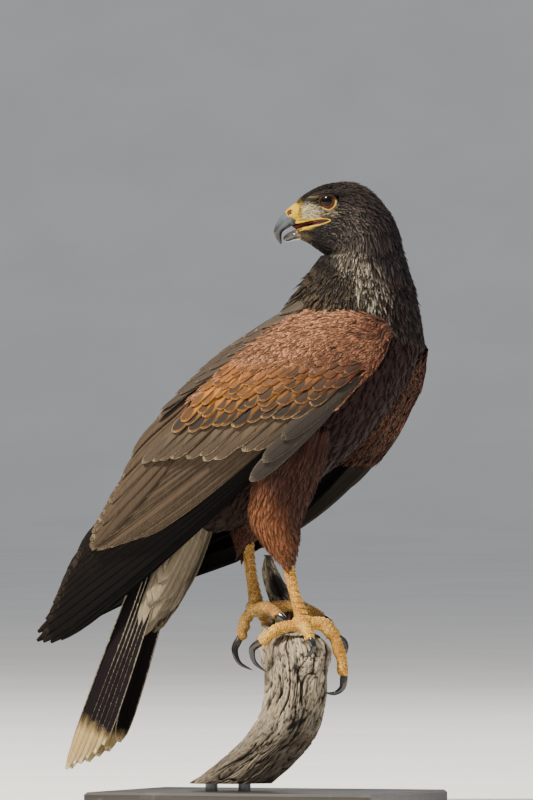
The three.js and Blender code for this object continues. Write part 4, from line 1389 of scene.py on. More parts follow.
@dataclass(frozen=True)
class ThighRing:
    """A level ring of a thigh."""

    z: float
    f: float
    l: float
    along: float
    wide: float

    def ring(self, side: Side, sides: int, grow: float = 0.0) -> Array:
        """Give the ring's points.

        Args:
            side: Which side.
            sides: How many points a ring has.
            grow: How far outside the form.

        Returns:
            The points.
        """
        angle = circle(sides)
        f = self.f + (self.along + grow) * np.cos(angle)
        return bird(f, side.value * (self.l + (self.wide + grow) * np.sin(angle)), self.z)


@dataclass(frozen=True)
class Toe:
    """A toe's middle line and its claw's, from root to tip."""

    name: str
    line: tuple[tuple[float, float, float], ...]
    claw: tuple[tuple[float, float, float], ...]


@dataclass(frozen=True)
class LegPlan:
    """Where one leg's parts are."""

    side: Side
    thigh: tuple[ThighRing, ...]
    pad: tuple[float, float, float]
    toes: tuple[Toe, ...]

    def thigh_rings(self, sides: int, grow: float = 0.0) -> Array:
        """Give the thigh's rings from the top down."""
        return refine(np.stack([r.ring(self.side, sides, grow) for r in self.thigh]), 5)

    def covers(self, points: Array) -> Array:
        """Say which places of the skin are on the thigh.

        Args:
            points: Places in the scene's frame, in millimetres.

        Returns:
            Whether each is on it.
        """
        f, l, z = BASE_CENTRE_F - points[:, 1], points[:, 0], points[:, 2]
        middle_f, middle_z = np.array([[r.f, r.z] for r in self.thigh])[::-1].T
        near = np.abs(f - np.interp(z, middle_z, middle_f)) < THIGH_REACH
        inside, outside = THIGH_SIDES
        return near & (z < THIGH_TOP) & (
            l * self.side.value > inside
        ) & (np.abs(l) < outside) & (f > THIGH_BACK)


LEGS = (
    LegPlan(
        Side.RIGHT,
        (
            ThighRing(300, 20, 29, 28, 18),
            ThighRing(272, 12, 30, 28, 18),
            ThighRing(244, 3, 29, 25, 17),
            ThighRing(224, -2, 27, 20.5, 15),
            ThighRing(208, 1, 25, 14.5, 12),
            ThighRing(197, 4, 23, 8.5, 8.5),
        ),
        (17, -18, 145),
        (
            Toe("hind", ((12, -19, 143), (-2, -21, 141), (-15, -22, 131)),
                ((-17, -22, 129.5), (-24, -21, 124), (-23, -19, 114), (-14, -16, 106))),
            Toe("inner", ((21, -14, 145), (30, -5, 145), (37, 4, 136)),
                ((38, 5.5, 134), (43, 8, 129), (44, 8, 122), (40, 6, 116))),
            Toe("middle", ((23, -17, 145), (36, -11, 140), (44, -7, 124), (47, -5, 105)),
                ((47, -5, 102.5), (46, -6, 94), (40, -8, 89.5), (32, -10, 90))),
            Toe("outer", ((17, -23, 144), (25, -31, 141), (30, -37, 134)),
                ((31, -38, 132), (34, -39.5, 127), (31, -39.5, 121), (26, -38, 118.5))),
        ),
    ),
    LegPlan(
        Side.LEFT,
        (
            ThighRing(290, -4, 29, 28, 18),
            ThighRing(264, -18, 28, 28, 18),
            ThighRing(244, -30, 26, 25, 16),
            ThighRing(228, -40, 23, 20, 13),
            ThighRing(214, -44, 20, 11, 10),
        ),
        (-34, 16, 156),
        (
            Toe("hind", ((-36, 15, 154), (-42, 13, 148), (-45, 10, 134)),
                ((-46, 9.5, 131.5), (-49, 7, 123), (-45, 6, 113), (-34, 7, 107))),
            Toe("inner", ((-31, 11, 156), (-21, 3, 157), (-9, -4, 152)),
                ((-7, -5, 150.5), (-2, -7, 147), (-1, -8, 141), (-4, -9, 137))),
            Toe("middle", ((-30, 16, 156), (-12, 15, 158), (6, 14, 157), (22, 12, 150)),
                ((24, 12, 148.5), (30, 11, 144), (31, 10, 137), (27, 9, 132))),
            Toe("outer", ((-33, 22, 155), (-35, 33, 153), (-35, 42, 143)),
                ((-35, 43, 140.5), (-34, 46, 133), (-31, 46, 126), (-27, 43, 121))),
        ),
    ),
)

# Colours of the coat
UMBER = (30, 23, 23)
UMBER_EDGE = (74, 62, 55)
CHOCOLATE = (46, 30, 30)
CHOCOLATE_EDGE = (86, 60, 52)
FAWN = (92, 80, 66)
FAWN_EDGE = (222, 210, 188)
RUFOUS = (138, 82, 50)
RUFOUS_EDGE = (184, 126, 84)
# The thighs are rufous; these two colours are that rufous painted dark as the shadow the wing casts.
RUFOUS_IN_SHADE = (62, 34, 27)
RUFOUS_EDGE_IN_SHADE = (104, 62, 44)
# White of the vent and the tail's soft coverts, painted darker as the shade under the wing.
SHADED_WHITE = (130, 118, 98)
WHITE = (226, 216, 190)
# Edges of the soft feathers under the tail: white painted darker as the shade under the wing.
SHADED_DOWN_EDGE = (162, 150, 128)
YELLOW = (198, 160, 8)
LORE = (190, 180, 146)
HORN_BLUE = (72, 80, 87)
HORN_EDGE = (116, 126, 132)
BROWN = (82, 72, 61)
BROWN_EDGE = (136, 122, 104)
RUMP = (58, 46, 40)

BODY_COAT = Coat(
    (46, 36, 31),
    (92, 76, 60),
    (
        Marking((95, 20, 340), (70, 60, 80), CHOCOLATE, CHOCOLATE_EDGE, 0.5),
        Marking((30, 20, 250), (60, 60, 36), CHOCOLATE, (110, 66, 44), 0.6, 0.8),
        # Paler brown on the back of the neck: partly its own paler feathers and partly painted light where the
        # sun falls.
        Marking((22, 14, 406), (18, 40, 26), BROWN, BROWN_EDGE, 0.5, 0.8),
        Marking((52, 40, 405), (26, 22, 30), FAWN, FAWN_EDGE, 0.6, 0.8),
        # The vent: white, with its ground painted darker as shade under the wing.
        Marking((-92, 0, 212), (26, 40, 26), SHADED_WHITE, WHITE, 0.3),
    ),
)
# The thigh's dark ground and darker rear are painted shadow; the rufous patch low on the outside is its own
# colour.
THIGH_COAT = Coat(
    RUFOUS_IN_SHADE, RUFOUS_EDGE_IN_SHADE,
    (
        Marking((-8, 34, 226), (22, 60, 38), RUFOUS, RUFOUS_EDGE, 0.6),
        Marking((-30, 0, 230), (44, 26, 40), RUFOUS_IN_SHADE, RUFOUS_EDGE_IN_SHADE, 0.6, 0.8),
    ),
)


@dataclass(frozen=True)
class HeadCoat(Coat):
    """The markings of the head, given in its own frame."""

    def at(self, points: Array) -> tuple[Array, Array]:
        """Read the ground and fringe colours at places on the head."""
        x, y, z = np.moveaxis(HEAD.local(points), -1, 0)
        return super().at(bird(x, y, z))


HEAD_COAT = HeadCoat(
    UMBER,
    UMBER_EDGE,
    (
        Marking((-45, 0, -30), (26, 40, 60), (31, 24, 28), (62, 49, 52), 0.6),
        Marking((-8, 16, -20), (22, 12, 17), (27, 21, 20), (192, 180, 168), 0.5, 0.58),
        Marking((-18, 22, -48), (20, 22, 14), (62, 53, 44), (240, 230, 208), 0.5, 0.9),
        Marking((-32, 24, -74), (13, 24, 20), (84, 74, 60), (244, 236, 214), 0.6, 0.9),
        Marking((15, 0, -66), (15, 40, 24), BROWN, BROWN_EDGE, 0.5, 0.8),
        # These two dark patches under the throat are painted shadow in the fold below the head.
        Marking((4, 12, -44), (10, 30, 10), (26, 20, 20), (50, 40, 36), 0.5, 0.9),
        Marking((-4, 12, -54), (6, 30, 12), (22, 18, 22), (40, 34, 38), 0.5, 0.95),
        Marking((16, 11, -9), (11, 9, 7.5), LORE, (206, 198, 166), 0.35),
        # The dark patch just in front of the eye is painted shadow under the brow.
        Marking((9, 12, 1.0), (6.5, 6, 3.6), (58, 48, 34), (96, 84, 58), 0.5, 0.9),
        Marking((9, 12, 3.6), (7, 5, 1.2), (140, 126, 92), LORE, 0.4, 0.7),
        Marking((-1, 17, -9.5), (7, 5, 2.6), (150, 138, 112), LORE, 0.6, 0.6),
        Marking((28, 8, -10), (6.5, 10, 11), YELLOW, (206, 186, 70), 0.6),
        Marking((20, 12, -15.6), (8, 10, 1.5), YELLOW, YELLOW, 0.4),
        Marking((19, 12, -20.8), (7, 10, 1.2), YELLOW, YELLOW, 0.3),
        Marking((21, 6, -28), (8, 8, 3.5), (132, 116, 84), LORE, 0.5, 0.7),
    ),
)
MOUTH = (
    (31, -17.4), (22.7, -16.8), (15.4, -14.6), (6.3, -13.8), (0, -14.5), (9.1, -16.9), (18.1, -19.2),
    (24.5, -21), (31, -22.6)
)
MOUTH_RED = (84, 26, 28)
MOUTH_EDGE = (104, 38, 38)
NOSTRIL = (30.6, 8.0, -8.8)


def mouth_edges(x: Array) -> tuple[Array, Array]:
    """Give the heights of the mouth's upper and lower edges along the head."""
    above, below = np.array(MOUTH[:5])[::-1], np.array(MOUTH[4:])
    return np.interp(x, above[:, 0], above[:, 1]), np.interp(x, below[:, 0], below[:, 1])


@dataclass
class EyePlan:
    """Where the eyes sit and how large they are."""

    radius: float = 8.4
    spread: float = 10.3
    forward: float = 0.2

    def centre(self, side: Side) -> Array:
        """Give an eye's middle."""
        return HEAD(0.0, side.value * self.spread, 0.0)

    def axes(self, side: Side) -> tuple[Array, Array, Array]:
        """Give the directions that an eye looks in, forward across it and up it.

        Args:
            side: Which side.

        Returns:
            The three directions.
        """
        origin = HEAD(0.0, 0.0, 0.0)
        look = unit(HEAD(self.forward, side.value, 0.0) - origin)
        up = np.array([0.0, 0.0, 1.0])
        ahead = unit(HEAD(1.0, 0.0, 0.0) - origin)
        ahead = unit(ahead - look * dot(ahead, look))
        return look, ahead, up


EYES = EyePlan()


def sphere(centre: Array, radius: Array | float, rows: int = 24, sides: int = 32) -> Shell:
    """Make a ball or an egg.

    Args:
        centre: Its middle.
        radius: Its radius, or one for each axis.
        rows: Rings from pole to pole.
        sides: Points in a ring.

    Returns:
        The closed ball.
    """
    polar = np.linspace(0.02, math.pi - 0.02, rows)[:, None]
    angle = circle(sides)[None]
    rings = np.stack(
        np.broadcast_arrays(np.sin(polar) * np.cos(angle), np.sin(polar) * np.sin(angle), np.cos(polar)), -1
    )
    return loft(rings * np.asarray(radius, float) + centre)


@dataclass
class Skin:
    """The one skin of trunk, neck, head, thighs and wings' arms, under the coat."""

    sides: int = 72
    voxel: float = 1.5
    depth: float = 3.4
    neck_rings: int = 15
    head_reach: float = 80.0
    piece: Piece | None = None
    tree: BVHTree | None = None
    centres: Array | None = None

    def trunk(self, grow: float = 0.0) -> Array:
        """Give the trunk's rings from collar to rump."""
        collar = COLLAR.ring(bird, self.sides, 0.0, grow)[None]
        return refine(np.concatenate([collar, rings_of(TRUNK, bird, self.sides, grow)]), 6)

    def skull(self, grow: float = 0.0, drop: float = 0.0) -> Array:
        """Give the head's rings from face to collar.

        Args:
            grow: How far outside the form.
            drop: How far below the collar a last ring lies, or 0 for none.

        Returns:
            The rings.
        """
        grows = grow * np.linspace(0, 1, len(SKULL)) ** 0.5
        rings = [rings_of(SKULL, HEAD, self.sides, grows), COLLAR.ring(HEAD, self.sides, 0.0, grow)[None]]
        fine = refine(np.concatenate(rings), 6)
        return np.concatenate([fine, COLLAR.ring(HEAD, self.sides, drop, grow - 1)[None]]) if drop else fine

    def head_and_neck(self, grow: float = 0.0) -> Array:
        """Give the rings from the face down over the neck, turned to run on at the collar.

        Args:
            grow: How far outside the form.

        Returns:
            The rings.
        """
        turned = -round(HEAD.turn / (2 * math.pi) * self.sides)
        neck = np.roll(self.trunk(grow)[1:self.neck_rings], -turned, axis=1)
        return np.concatenate([self.skull(grow), neck])

    def vent(self, grow: float = 0.0) -> Array:
        """Give the rings of the soft cone under the tail."""
        return refine(rings_of(VENT, bird, 32, grow), 6)

    def mouth(self) -> Shell:
        """Give the wedge that the open bill leaves."""
        outline = np.array(MOUTH, float)
        return loft(np.stack([HEAD(outline[:, 0], y, outline[:, 1]) for y in (-24.0, 24.0)]))

    def brow(self, side: Side, grow: float = 0.0) -> Array:
        """Give the rings of the bony shelf over an eye, from the bill back.

        Args:
            side: Which side.
            grow: How far outside the form.

        Returns:
            The rings.
        """
        line = [
            (19, 9.6, 0.6), (12.5, 12, 4), (4, 14.6, 6.3), (-4, 15.6, 6.8), (-11, 15.6, 5.6), (-17, 15.8, 4)
        ]
        middle = smooth_line([HEAD(x, side.value * y, z) for x, y, z in line], 24)
        t = np.linspace(0, 1, 24)
        wide = 3.1 * np.sin(math.pi * (0.12 + 0.76 * t)) + grow
        return tube(middle, wide, np.full(24, 1.9 + grow), 14)

    def build(self, finish: Material, arms: Sequence[Array]) -> Piece:
        """Fuse the forms, cut the mouth and sockets, and unwrap the skin.

        Args:
            finish: Its material.
            arms: The rings of the wings' arms.

        Returns:
            The skin.
        """
        head = loft(self.skull(-1.2, 9.0)).build("head_form", finish)
        for number, cutter in enumerate(
            [self.mouth(), *(sphere(EYES.centre(s), EYES.radius + 0.25) for s in Side)]
        ):
            tool = cutter.build(f"cutter_{number}", finish)
            apply_modifier(head, "BOOLEAN", object=tool, operation="DIFFERENCE", solver="EXACT")
            bpy.data.objects.remove(tool)
        forms = [loft(self.trunk(-self.depth)), loft(self.vent(-2.0)), *(loft(self.brow(s)) for s in Side)]
        forms += [loft(leg.thigh_rings(40, -3.0)) for leg in LEGS]
        forms += [loft(a) for a in arms]
        rest = join_shells(forms).build("rest_form", finish)
        with bpy.context.temp_override(active_object=head, selected_editable_objects=[head, rest]):
            bpy.ops.object.join()
        apply_modifier(head, "REMESH", mode="VOXEL", voxel_size=self.voxel * MM)
        apply_modifier(head, "SMOOTH", factor=0.5, iterations=3)
        head.name = head.data.name = "skin"
        head.data.polygons.foreach_set("use_smooth", np.ones(len(head.data.polygons), bool))
        self.piece = head
        self.unwrap()
        self.dress()
        return mount(head, "plumage_body", "torso", "neck", "head", "thigh_right", "thigh_left")

    def unwrap(self) -> None:
        """Lay the skin's own shape out flat and keep the way from a place to its spot."""
        piece = self.piece
        bpy.context.view_layer.objects.active = piece
        piece.select_set(True)
        while piece.data.uv_layers:
            piece.data.uv_layers.remove(piece.data.uv_layers[0])
        piece.data.uv_layers.new(name=BAKE_MAP)
        bpy.ops.object.mode_set(mode="EDIT")
        bpy.ops.mesh.select_all(action="SELECT")
        bpy.ops.uv.smart_project(angle_limit=math.radians(72), island_margin=0.002)
        bpy.ops.object.mode_set(mode="OBJECT")
        points = points_of(piece)
        polygons = [tuple(p.vertices) for p in piece.data.polygons]
        self.tree = BVHTree.FromPolygons([Vector(p) for p in points], polygons)
        uv = np.zeros(len(piece.data.loops) * 2, np.float32)
        piece.data.uv_layers[BAKE_MAP].data.foreach_get("uv", uv)
        starts = np.zeros(len(polygons), np.int32)
        piece.data.polygons.foreach_get("loop_start", starts)
        uv = uv.reshape(-1, 2)
        self.centres = (uv[starts] + uv[starts + 2]) / 2

    def spots(self, points: Array) -> Array:
        """Give the bake map's spots of the skin nearest to some places."""
        found = [self.tree.find_nearest(Vector(p))[2] for p in points]
        return self.centres[np.array(found, int)].astype(float)

    def dress(self) -> None:
        """Colour the skin like the coat over it, and the mouth inside."""
        points = points_of(self.piece)
        ground, fringe = BODY_COAT.at(points)
        local = HEAD.local(points)
        on_head = (points[:, 2] > COLLAR.z) & (np.linalg.norm(local, axis=1) < self.head_reach)
        ground[on_head], fringe[on_head] = HEAD_COAT.at(points[on_head])
        for leg in LEGS:
            thigh = leg.covers(points)
            ground[thigh], fringe[thigh] = THIGH_COAT.at(points[thigh])
        for wing in WINGS:
            on_arm = wing.covers(points)
            ground[on_arm], fringe[on_arm] = (0.6 * colours for colours in ARM_COAT.at(points[on_arm]))
        x, y, z = local.T
        top, bottom = mouth_edges(x)
        width = np.interp(x, [0, 9, 16, 23, 27], [15.2, 13.6, 12.2, 10.0, 7.6])
        inside = (x > -1) & (z < top + 0.5) & (z > bottom - 0.5) & (np.abs(y) < width)
        inside |= (x > 1.5) & (x < 12) & (z < top + 0.2) & (z > bottom - 0.2)
        ground[inside & on_head], fringe[inside & on_head] = linear(MOUTH_RED), linear(MOUTH_EDGE)
        tint(self.piece, ground, fringe)


# Wings


WING_REACH = Graph(
    ((-10, 34), (5, 42), (30, 50), (70, 58), (110, 61.5), (150, 60), (170, 56.8), (370, 25.2), (390, 22))
)
WING_LOW = Graph(((-6, 8), (16, -5), (40, -9), (79, -15), (152, -13), (197, -1)))
WING_HIGH = Graph(((-6, 18), (4, 36), (20, 54), (45, 71), (110, 82), (193, 80)))
CORE_DEPTH = Graph(((0, 22), (100, 22), (190, 5)))
ARM_OUT = Graph(((34, -1), (52, 1.4), (66, 2.4), (82, 4.2), (96, 5.2), (112, 6.6), (140, 8.4)))
ROW_OUT = Graph(((0, 2.4), (40, 4.2), (60, 5.2), (77, 6.0), (92, 6.6), (106, 7.1), (119, 7.6)))
FRONT_HEIGHT = Graph(((-10, 0.4), (6, 0.55), (20, 0.8), (40, 1)))
LAST_ROW = np.array(((138, 4), (222, 60)), float)
SAG_TOP = 70
SAG_SPAN = 85
SHELL_MIDDLE = 8
SHELL_HALF = 84


def last_row(t: Array) -> tuple[Array, Array]:
    """Give the tips of the last row of coverts, from low to high on the wing."""
    return mix(LAST_ROW[0, 0], LAST_ROW[1, 0], t), mix(LAST_ROW[0, 1], LAST_ROW[1, 1], t)


def last_row_at(b: Array) -> Array:
    """Give how far along the wing that row's tip is at a height on it."""
    return last_row((b - LAST_ROW[0, 1]) / (LAST_ROW[1, 1] - LAST_ROW[0, 1]))[0]


@dataclass(frozen=True)
class FeatherRow:
    """A row of long feathers, from the first to the last."""

    count: int
    half: float
    outline: Outline
    tilt: float
    root: Callable[[Array], tuple[Array, Array]]
    tip: Callable[[Array], tuple[Array, Array]]
    height: Callable[[Array, Array], Array]
    bow: float = 0.0
    bend: float = 0.0
    stations: int = 12
    places: int = LONG_PLACES
    camber: float = 0.16
    stray: float = 0.5


@dataclass(frozen=True)
class Pattern:
    """The colours of a row's feathers, from the first to the last feather of the row."""

    ground: tuple[Colour, Colour]
    fringe: tuple[Colour, Colour]
    core: tuple[Colour, Colour] | None = None
    fade: float = 0.0

    def run(self, pair: tuple[Colour, Colour], row: Array) -> Array:
        """Give one of its colours along the row."""
        return mix(linear(pair[0]), linear(pair[1]), row[..., None])

    def grounds(self, row: Array, along: Array, places: int) -> Array:
        """Give the ground colours over a grid of feathers, stations and places across."""
        return np.broadcast_to(
            self.run(self.ground, row)[:, None, None], (len(row), len(along), places, 3)
        ).copy()


@dataclass
class Wing:
    """A folded wing: places on it run from the wrist to the tip and rise toward the back."""

    side: Side
    wrist: tuple[float, float]
    tip: tuple[float, float]
    droop: Graph
    seed: int

    @property
    def ahead(self) -> Array:
        """The direction from wrist to tip."""
        return heading(self.wrist, self.tip)

    def sag(self, a: Array, b: Array) -> Array:
        """Give how far the lower part of the wing hangs down."""
        return self.droop(a) * np.clip((SAG_TOP - b) / SAG_SPAN, 0, 1)

    def surface(self, a: Array, b: Array) -> Array:
        """Give places on the wing's curved shell.

        Args:
            a: Places along the wing.
            b: Places up it.

        Returns:
            The places.
        """
        a, b = np.broadcast_arrays(np.asarray(a, float), np.asarray(b, float))
        ahead = self.ahead
        lower = b - self.sag(a, b)
        reach = WING_REACH(a) * np.sqrt(np.maximum(1 - ((b - SHELL_MIDDLE) / SHELL_HALF) ** 2, 0.04))
        f = self.wrist[0] + ahead[0] * a + ahead[1] * lower
        z = self.wrist[1] + ahead[1] * a - ahead[0] * lower
        return bird(f, self.side.value * reach, z)

    def outward(self, a: Array, b: Array) -> Array:
        """Give the direction straight out of the shell.

        Args:
            a: Places along the wing.
            b: Places up it.

        Returns:
            The directions.
        """
        a, b = np.broadcast_arrays(np.asarray(a, float), np.asarray(b, float))
        normal = unit(
            np.cross(
                self.surface(a + 1, b) - self.surface(a - 1, b),
                self.surface(a, b + 1) - self.surface(a, b - 1)
            )
        )
        return np.where(normal[..., :1] * self.side.value < 0, -normal, normal)

    def place(self, a: Array, b: Array, out: Array) -> Array:
        """Give places off the shell."""
        return self.surface(a, b) + self.outward(a, b) * np.asarray(out, float)[..., None]

    def down(self) -> Array:
        """Give the direction down across the wing."""
        ahead = self.ahead
        return toward(-ahead[1], 0.0, ahead[0])

    def arm(self, sink: float = 0.0) -> Array:
        """Give the rings of the arm under the coverts.

        Args:
            sink: How far inside the coat its outside lies.

        Returns:
            The rings, from the wrist back.
        """
        share = np.array(
            (0, 0.03, 0.08, 0.14, 0.2, 0.28, 0.36, 0.45, 0.54, 0.62, 0.71, 0.8, 0.9, 1)
        )[:, None]
        t = np.linspace(0, 1, 22)[None]
        a = mix(-6.0, last_row_at(mix(-12.0, 80.0, t)) - 36, share)
        b = mix(WING_LOW(a) + 1.4 * sink, WING_HIGH(a) - 1.4 * sink, t)
        swell = np.minimum(np.minimum(1, 6 * t), np.minimum(6 * (1 - t), 0.35 + 4 * share))
        outer = self.place(a, b, ARM_OUT(last_row_at(b) - a) * (0.4 + 0.6 * swell) - sink)
        inner = self.place(a, b, (sink - CORE_DEPTH(a)) * np.sin(math.pi * t) ** 0.3)[:, -2:0:-1]
        return refine(np.concatenate([outer, inner], 1), 2)

    def spots(self, points: Array) -> tuple[Array, Array, Array]:
        """Find where places lie on the wing: along it, up it and off its shell.

        Args:
            points: Places in the scene's frame, in millimetres.

        Returns:
            How far along, how far up and how far off the shell.
        """
        ahead = self.ahead
        f, z = BASE_CENTRE_F - points[:, 1] - self.wrist[0], points[:, 2] - self.wrist[1]
        a, lower = f * ahead[0] + z * ahead[1], f * ahead[1] - z * ahead[0]
        b = lower
        for _ in range(4):
            b = lower + self.sag(a, b)
        return a, b, np.abs(points[:, 0]) - np.abs(self.surface(a, b)[:, 0])

    def covers(self, points: Array) -> Array:
        """Say which places belong to the wing's arm rather than to the body.

        Args:
            points: Places in the scene's frame, in millimetres.

        Returns:
            Whether each does.
        """
        a, b, off = self.spots(points)
        within = (a > -9) & (a < last_row_at(b) - 34) & (b > WING_LOW(a) - 3) & (b < WING_HIGH(a) + 3)
        return within & (off > -24) & (off < 12) & (points[:, 0] * self.side.value > 20)

    def bare(self, points: Array) -> Array:
        """Say where the arm shows beyond its rows of coverts: its front, shoulder and inside.

        Args:
            points: Places in the scene's frame, in millimetres.

        Returns:
            Whether each is bare of them.
        """
        a, b, off = self.spots(points)
        ahead = last_row_at(b) - a
        if self.side is Side.LEFT:
            return (off < -3) | (ahead > 90) | (b < WING_LOW(a) + 14)
        return ((off < -4) & (ahead > 48)) | (
            (ahead > 90 + 32 * smooth(44, 16, b)) & (b < 74)
        ) | ((b < WING_LOW(a) + 3) & (ahead > 60))

    def lay(
        self, row: FeatherRow, pattern: Pattern, unwrap: ByPlace, seed: int, cell: float = 2.0
    ) -> Vanes:
        """Lay one row of feathers.

        Args:
            row: Where they lie.
            pattern: Their colours.
            unwrap: Gives a place's spot on the bake map.
            seed: Where chance starts.
            cell: How much wider than a tuft's their patch of the map is.

        Returns:
            The feathers.
        """
        rng = np.random.default_rng(self.seed + seed)
        share = np.linspace(0, 1, row.count)
        t = 1 - (1 - np.linspace(0, 1, row.stations)) ** 1.3
        (root_a, root_b), (tip_a, tip_b) = row.root(share), row.tip(share)
        tip_a = tip_a + rng.uniform(-1, 1, row.count) * row.stray * 2
        tip_b = tip_b + rng.uniform(-1, 1, row.count) * row.stray
        a = mix(
            np.broadcast_to(root_a, share.shape)[:, None], np.broadcast_to(tip_a, share.shape)[:, None], t
        )
        b = mix(
            np.broadcast_to(root_b, share.shape)[:, None], np.broadcast_to(tip_b, share.shape)[:, None], t
        )
        reach = (np.asarray(tip_a) - root_a) * np.clip(1 - share / 0.8, 0, 1) * row.bend
        b = b + row.bow * np.sin(math.pi * t) + reach[:, None] * (t**2 - t**6)
        out = self.outward(a, b)
        height = row.height(share[:, None], t[None])
        middle = self.place(a, b, np.where(height > 0, height * FRONT_HEIGHT(a), height))
        ahead = unit(np.gradient(middle, axis=1))
        across = facing(unit(np.cross(out, ahead)), self.down())
        up = facing(unit(np.cross(ahead, across)), out)
        tilt = np.radians(row.tilt + rng.normal(0, 1.2, row.count))[:, None, None]
        edge = across * np.cos(tilt) + up * np.sin(tilt)
        face = up * np.cos(tilt) - across * np.sin(tilt)
        half = row.half * row.outline.at(t)[None] * rng.uniform(
            1 - 0.06 * row.stray, 1 + 0.06 * row.stray, (row.count, 1)
        )
        tone = (1 + rng.normal(0, 0.07, (row.count, 1, 1, 1))).clip(0.8, 1.2)
        core = None if pattern.core is None else pattern.run(pattern.core, share) * tone[:, 0, 0]
        if core is not None:
            core = mix(
                core, pattern.run(pattern.ground, share), pattern.fade * rng.uniform(0, 1, (row.count, 1))
            )
        return Vanes(
            middle, edge, face, half, pattern.grounds(share, t, row.places) * tone,
            pattern.run(pattern.fringe, share),
            unwrap(middle[:, 0]), row.places, row.camber, 0.3, (TUFT_PATCH * cell, TUFT_PATCH * cell), seed,
            core,
        )

    def coverts(
        self, count: int, root: float, tip: float, half: float, start: float = 0.0, end: float = 1.0
    ) -> FeatherRow:
        """Describe a row of coverts across the wing.

        Args:
            count: How many.
            root: How far ahead of the last row's tips their roots are.
            tip: How far ahead of it their tips are.
            half: Their half-width.
            start: Where on the row they begin, from low to high.
            end: Where they end.

        Returns:
            The row.
        """
        def line(ahead: float) -> Callable[[Array], tuple[Array, Array]]:
            """Give places a distance ahead of the last row's tips."""
            def at(t: Array) -> tuple[Array, Array]:
                """Give the places of a share of the row."""
                a, b = last_row(mix(start, end, t))
                return a - ahead - 0.14 * ahead * (1 - t) ** 2, b
            return at

        low, high = float(ARM_OUT(root)) - (0.8 if tip < 80 else 1.5), float(ROW_OUT(tip))
        return FeatherRow(
            count, half, SCALLOP, 13.0, line(root), line(tip), lambda row, t: mix(low, high, t) + 0 * row,
            stations=10, stray=2.6,
        )


SECONDARY_TIP_A = Graph(((0, 214), (0.3, 266), (0.6, 302), (0.75, 298), (1, 262)))
SECONDARY_TIP_B = Graph(((0, 73), (0.3, 55), (0.6, 39), (1, 15)))
PRIMARY_TIP_A = Graph(((0, 318), (0.3, 346), (0.6, 370), (0.8, 388), (1, 374)))
PRIMARY_TIP_B = Graph(((0, 38), (0.3, 29), (0.6, 17), (0.8, 6), (1, -3)))

SECONDARIES = FeatherRow(
    17, 8.0, FINGER, 12.0,
    lambda t: (mix(112, 62, t), mix(61, 7, t)),
    lambda t: (SECONDARY_TIP_A(t), SECONDARY_TIP_B(t)),
    lambda row, t: -2.2 - 4 * row + 0 * t,
    bow=-3.0, bend=0.12, stations=18,
)
PRIMARIES = FeatherRow(
    12, 7.6, FINGER, 5.0,
    lambda t: (mix(88, 64, t), mix(4, -2, t)),
    lambda t: (PRIMARY_TIP_A(t), PRIMARY_TIP_B(t)),
    lambda row, t: -8.6 - 6.6 * row + 0.6 * t,
    bow=-3.0, bend=0.16, stations=20,
)
TERTIALS = FeatherRow(
    5, 8.0, POINTED, 5.0,
    lambda t: (mix(126, 196, t), mix(76, 46, t)),
    lambda t: (mix(228, 300, t), mix(69, 33, t)),
    lambda row, t: 0.4 - 2.2 * row + 0 * t,
    bow=1.5, bend=0.12, stations=16,
)
SCAPULARS = FeatherRow(
    10, 7.6, POINTED, 4.0,
    lambda t: (mix(108, 6, t), mix(81, 62, t)),
    lambda t: (mix(192, 88, t), mix(76, 80, t) + 8 * np.sin(math.pi * t)),
    lambda row, t: 1.4 + 3.2 * t + 0 * row,
    bow=1.5, stations=12, stray=0.8,
)
SHOULDER = FeatherRow(
    8, 5.6, POINTED, 5.0,
    lambda t: (mix(126, 8, t), mix(74, 60, t)),
    lambda t: (mix(184, 62, t), mix(77, 76, t)),
    lambda row, t: 3.0 + 3.6 * t + 0 * row,
    bow=1.0, stations=10, stray=1.2,
)
HAND_TIP_A = Graph(((0, 153), (0.5, 134), (1, 112)))
HAND_TIP_B = Graph(((0, -13), (0.5, -8.2), (1, -4.4)))
HAND_COVERTS = FeatherRow(
    3, 7.6, FINGER, 5.0,
    lambda t: (mix(50, 18, t), mix(-5, 1, t)),
    lambda t: (HAND_TIP_A(t), HAND_TIP_B(t)),
    lambda row, t: 4.0 * t + 2.2 * row,
    bow=-1.5, stations=14,
)
FAR_HAND_COVERTS = FeatherRow(
    5, 7.6, POINTED, 5.0,
    lambda t: (mix(64, 16, t), mix(-8, 1, t)),
    lambda t: (mix(204, 96, t), mix(-6, -12, t)),
    lambda row, t: 4.0 * t + 2.0 * row,
    stations=14,
)

GREATER = Pattern(
    ((92, 75, 56), (92, 79, 62)), ((206, 184, 146), (196, 176, 138)), ((74, 62, 49), (78, 65, 51))
)
MEDIAN = Pattern(
    ((96, 67, 42), (150, 102, 46)), ((222, 192, 144), (216, 180, 122)), ((38, 31, 26), (48, 40, 33))
)
LESSER = (
    Pattern(
        ((90, 60, 38), (190, 124, 46)), ((214, 172, 118), (222, 172, 102)), ((32, 26, 23), (46, 38, 31)),
        0.25
    ),
    Pattern(
        ((98, 54, 31), (196, 126, 46)), ((196, 146, 96), (218, 160, 86)), ((38, 31, 27), (68, 52, 38)), 0.4
    ),
    Pattern(
        ((92, 50, 31), (196, 124, 48)), ((180, 126, 80), (212, 150, 80)), ((38, 30, 27), (70, 50, 34)), 0.6
    ),
    Pattern(
        ((90, 50, 32), (186, 116, 48)), ((168, 116, 76), (206, 144, 80)), ((40, 31, 27), (66, 46, 32)), 0.9
    ),
    Pattern(
        ((92, 52, 34), (172, 106, 48)), ((170, 118, 78), (200, 140, 82)), ((48, 34, 28), (66, 46, 32)), 0.9
    ),
)
FLIGHT = Pattern(((92, 78, 63), (84, 71, 58)), ((186, 168, 138), (172, 154, 126)))
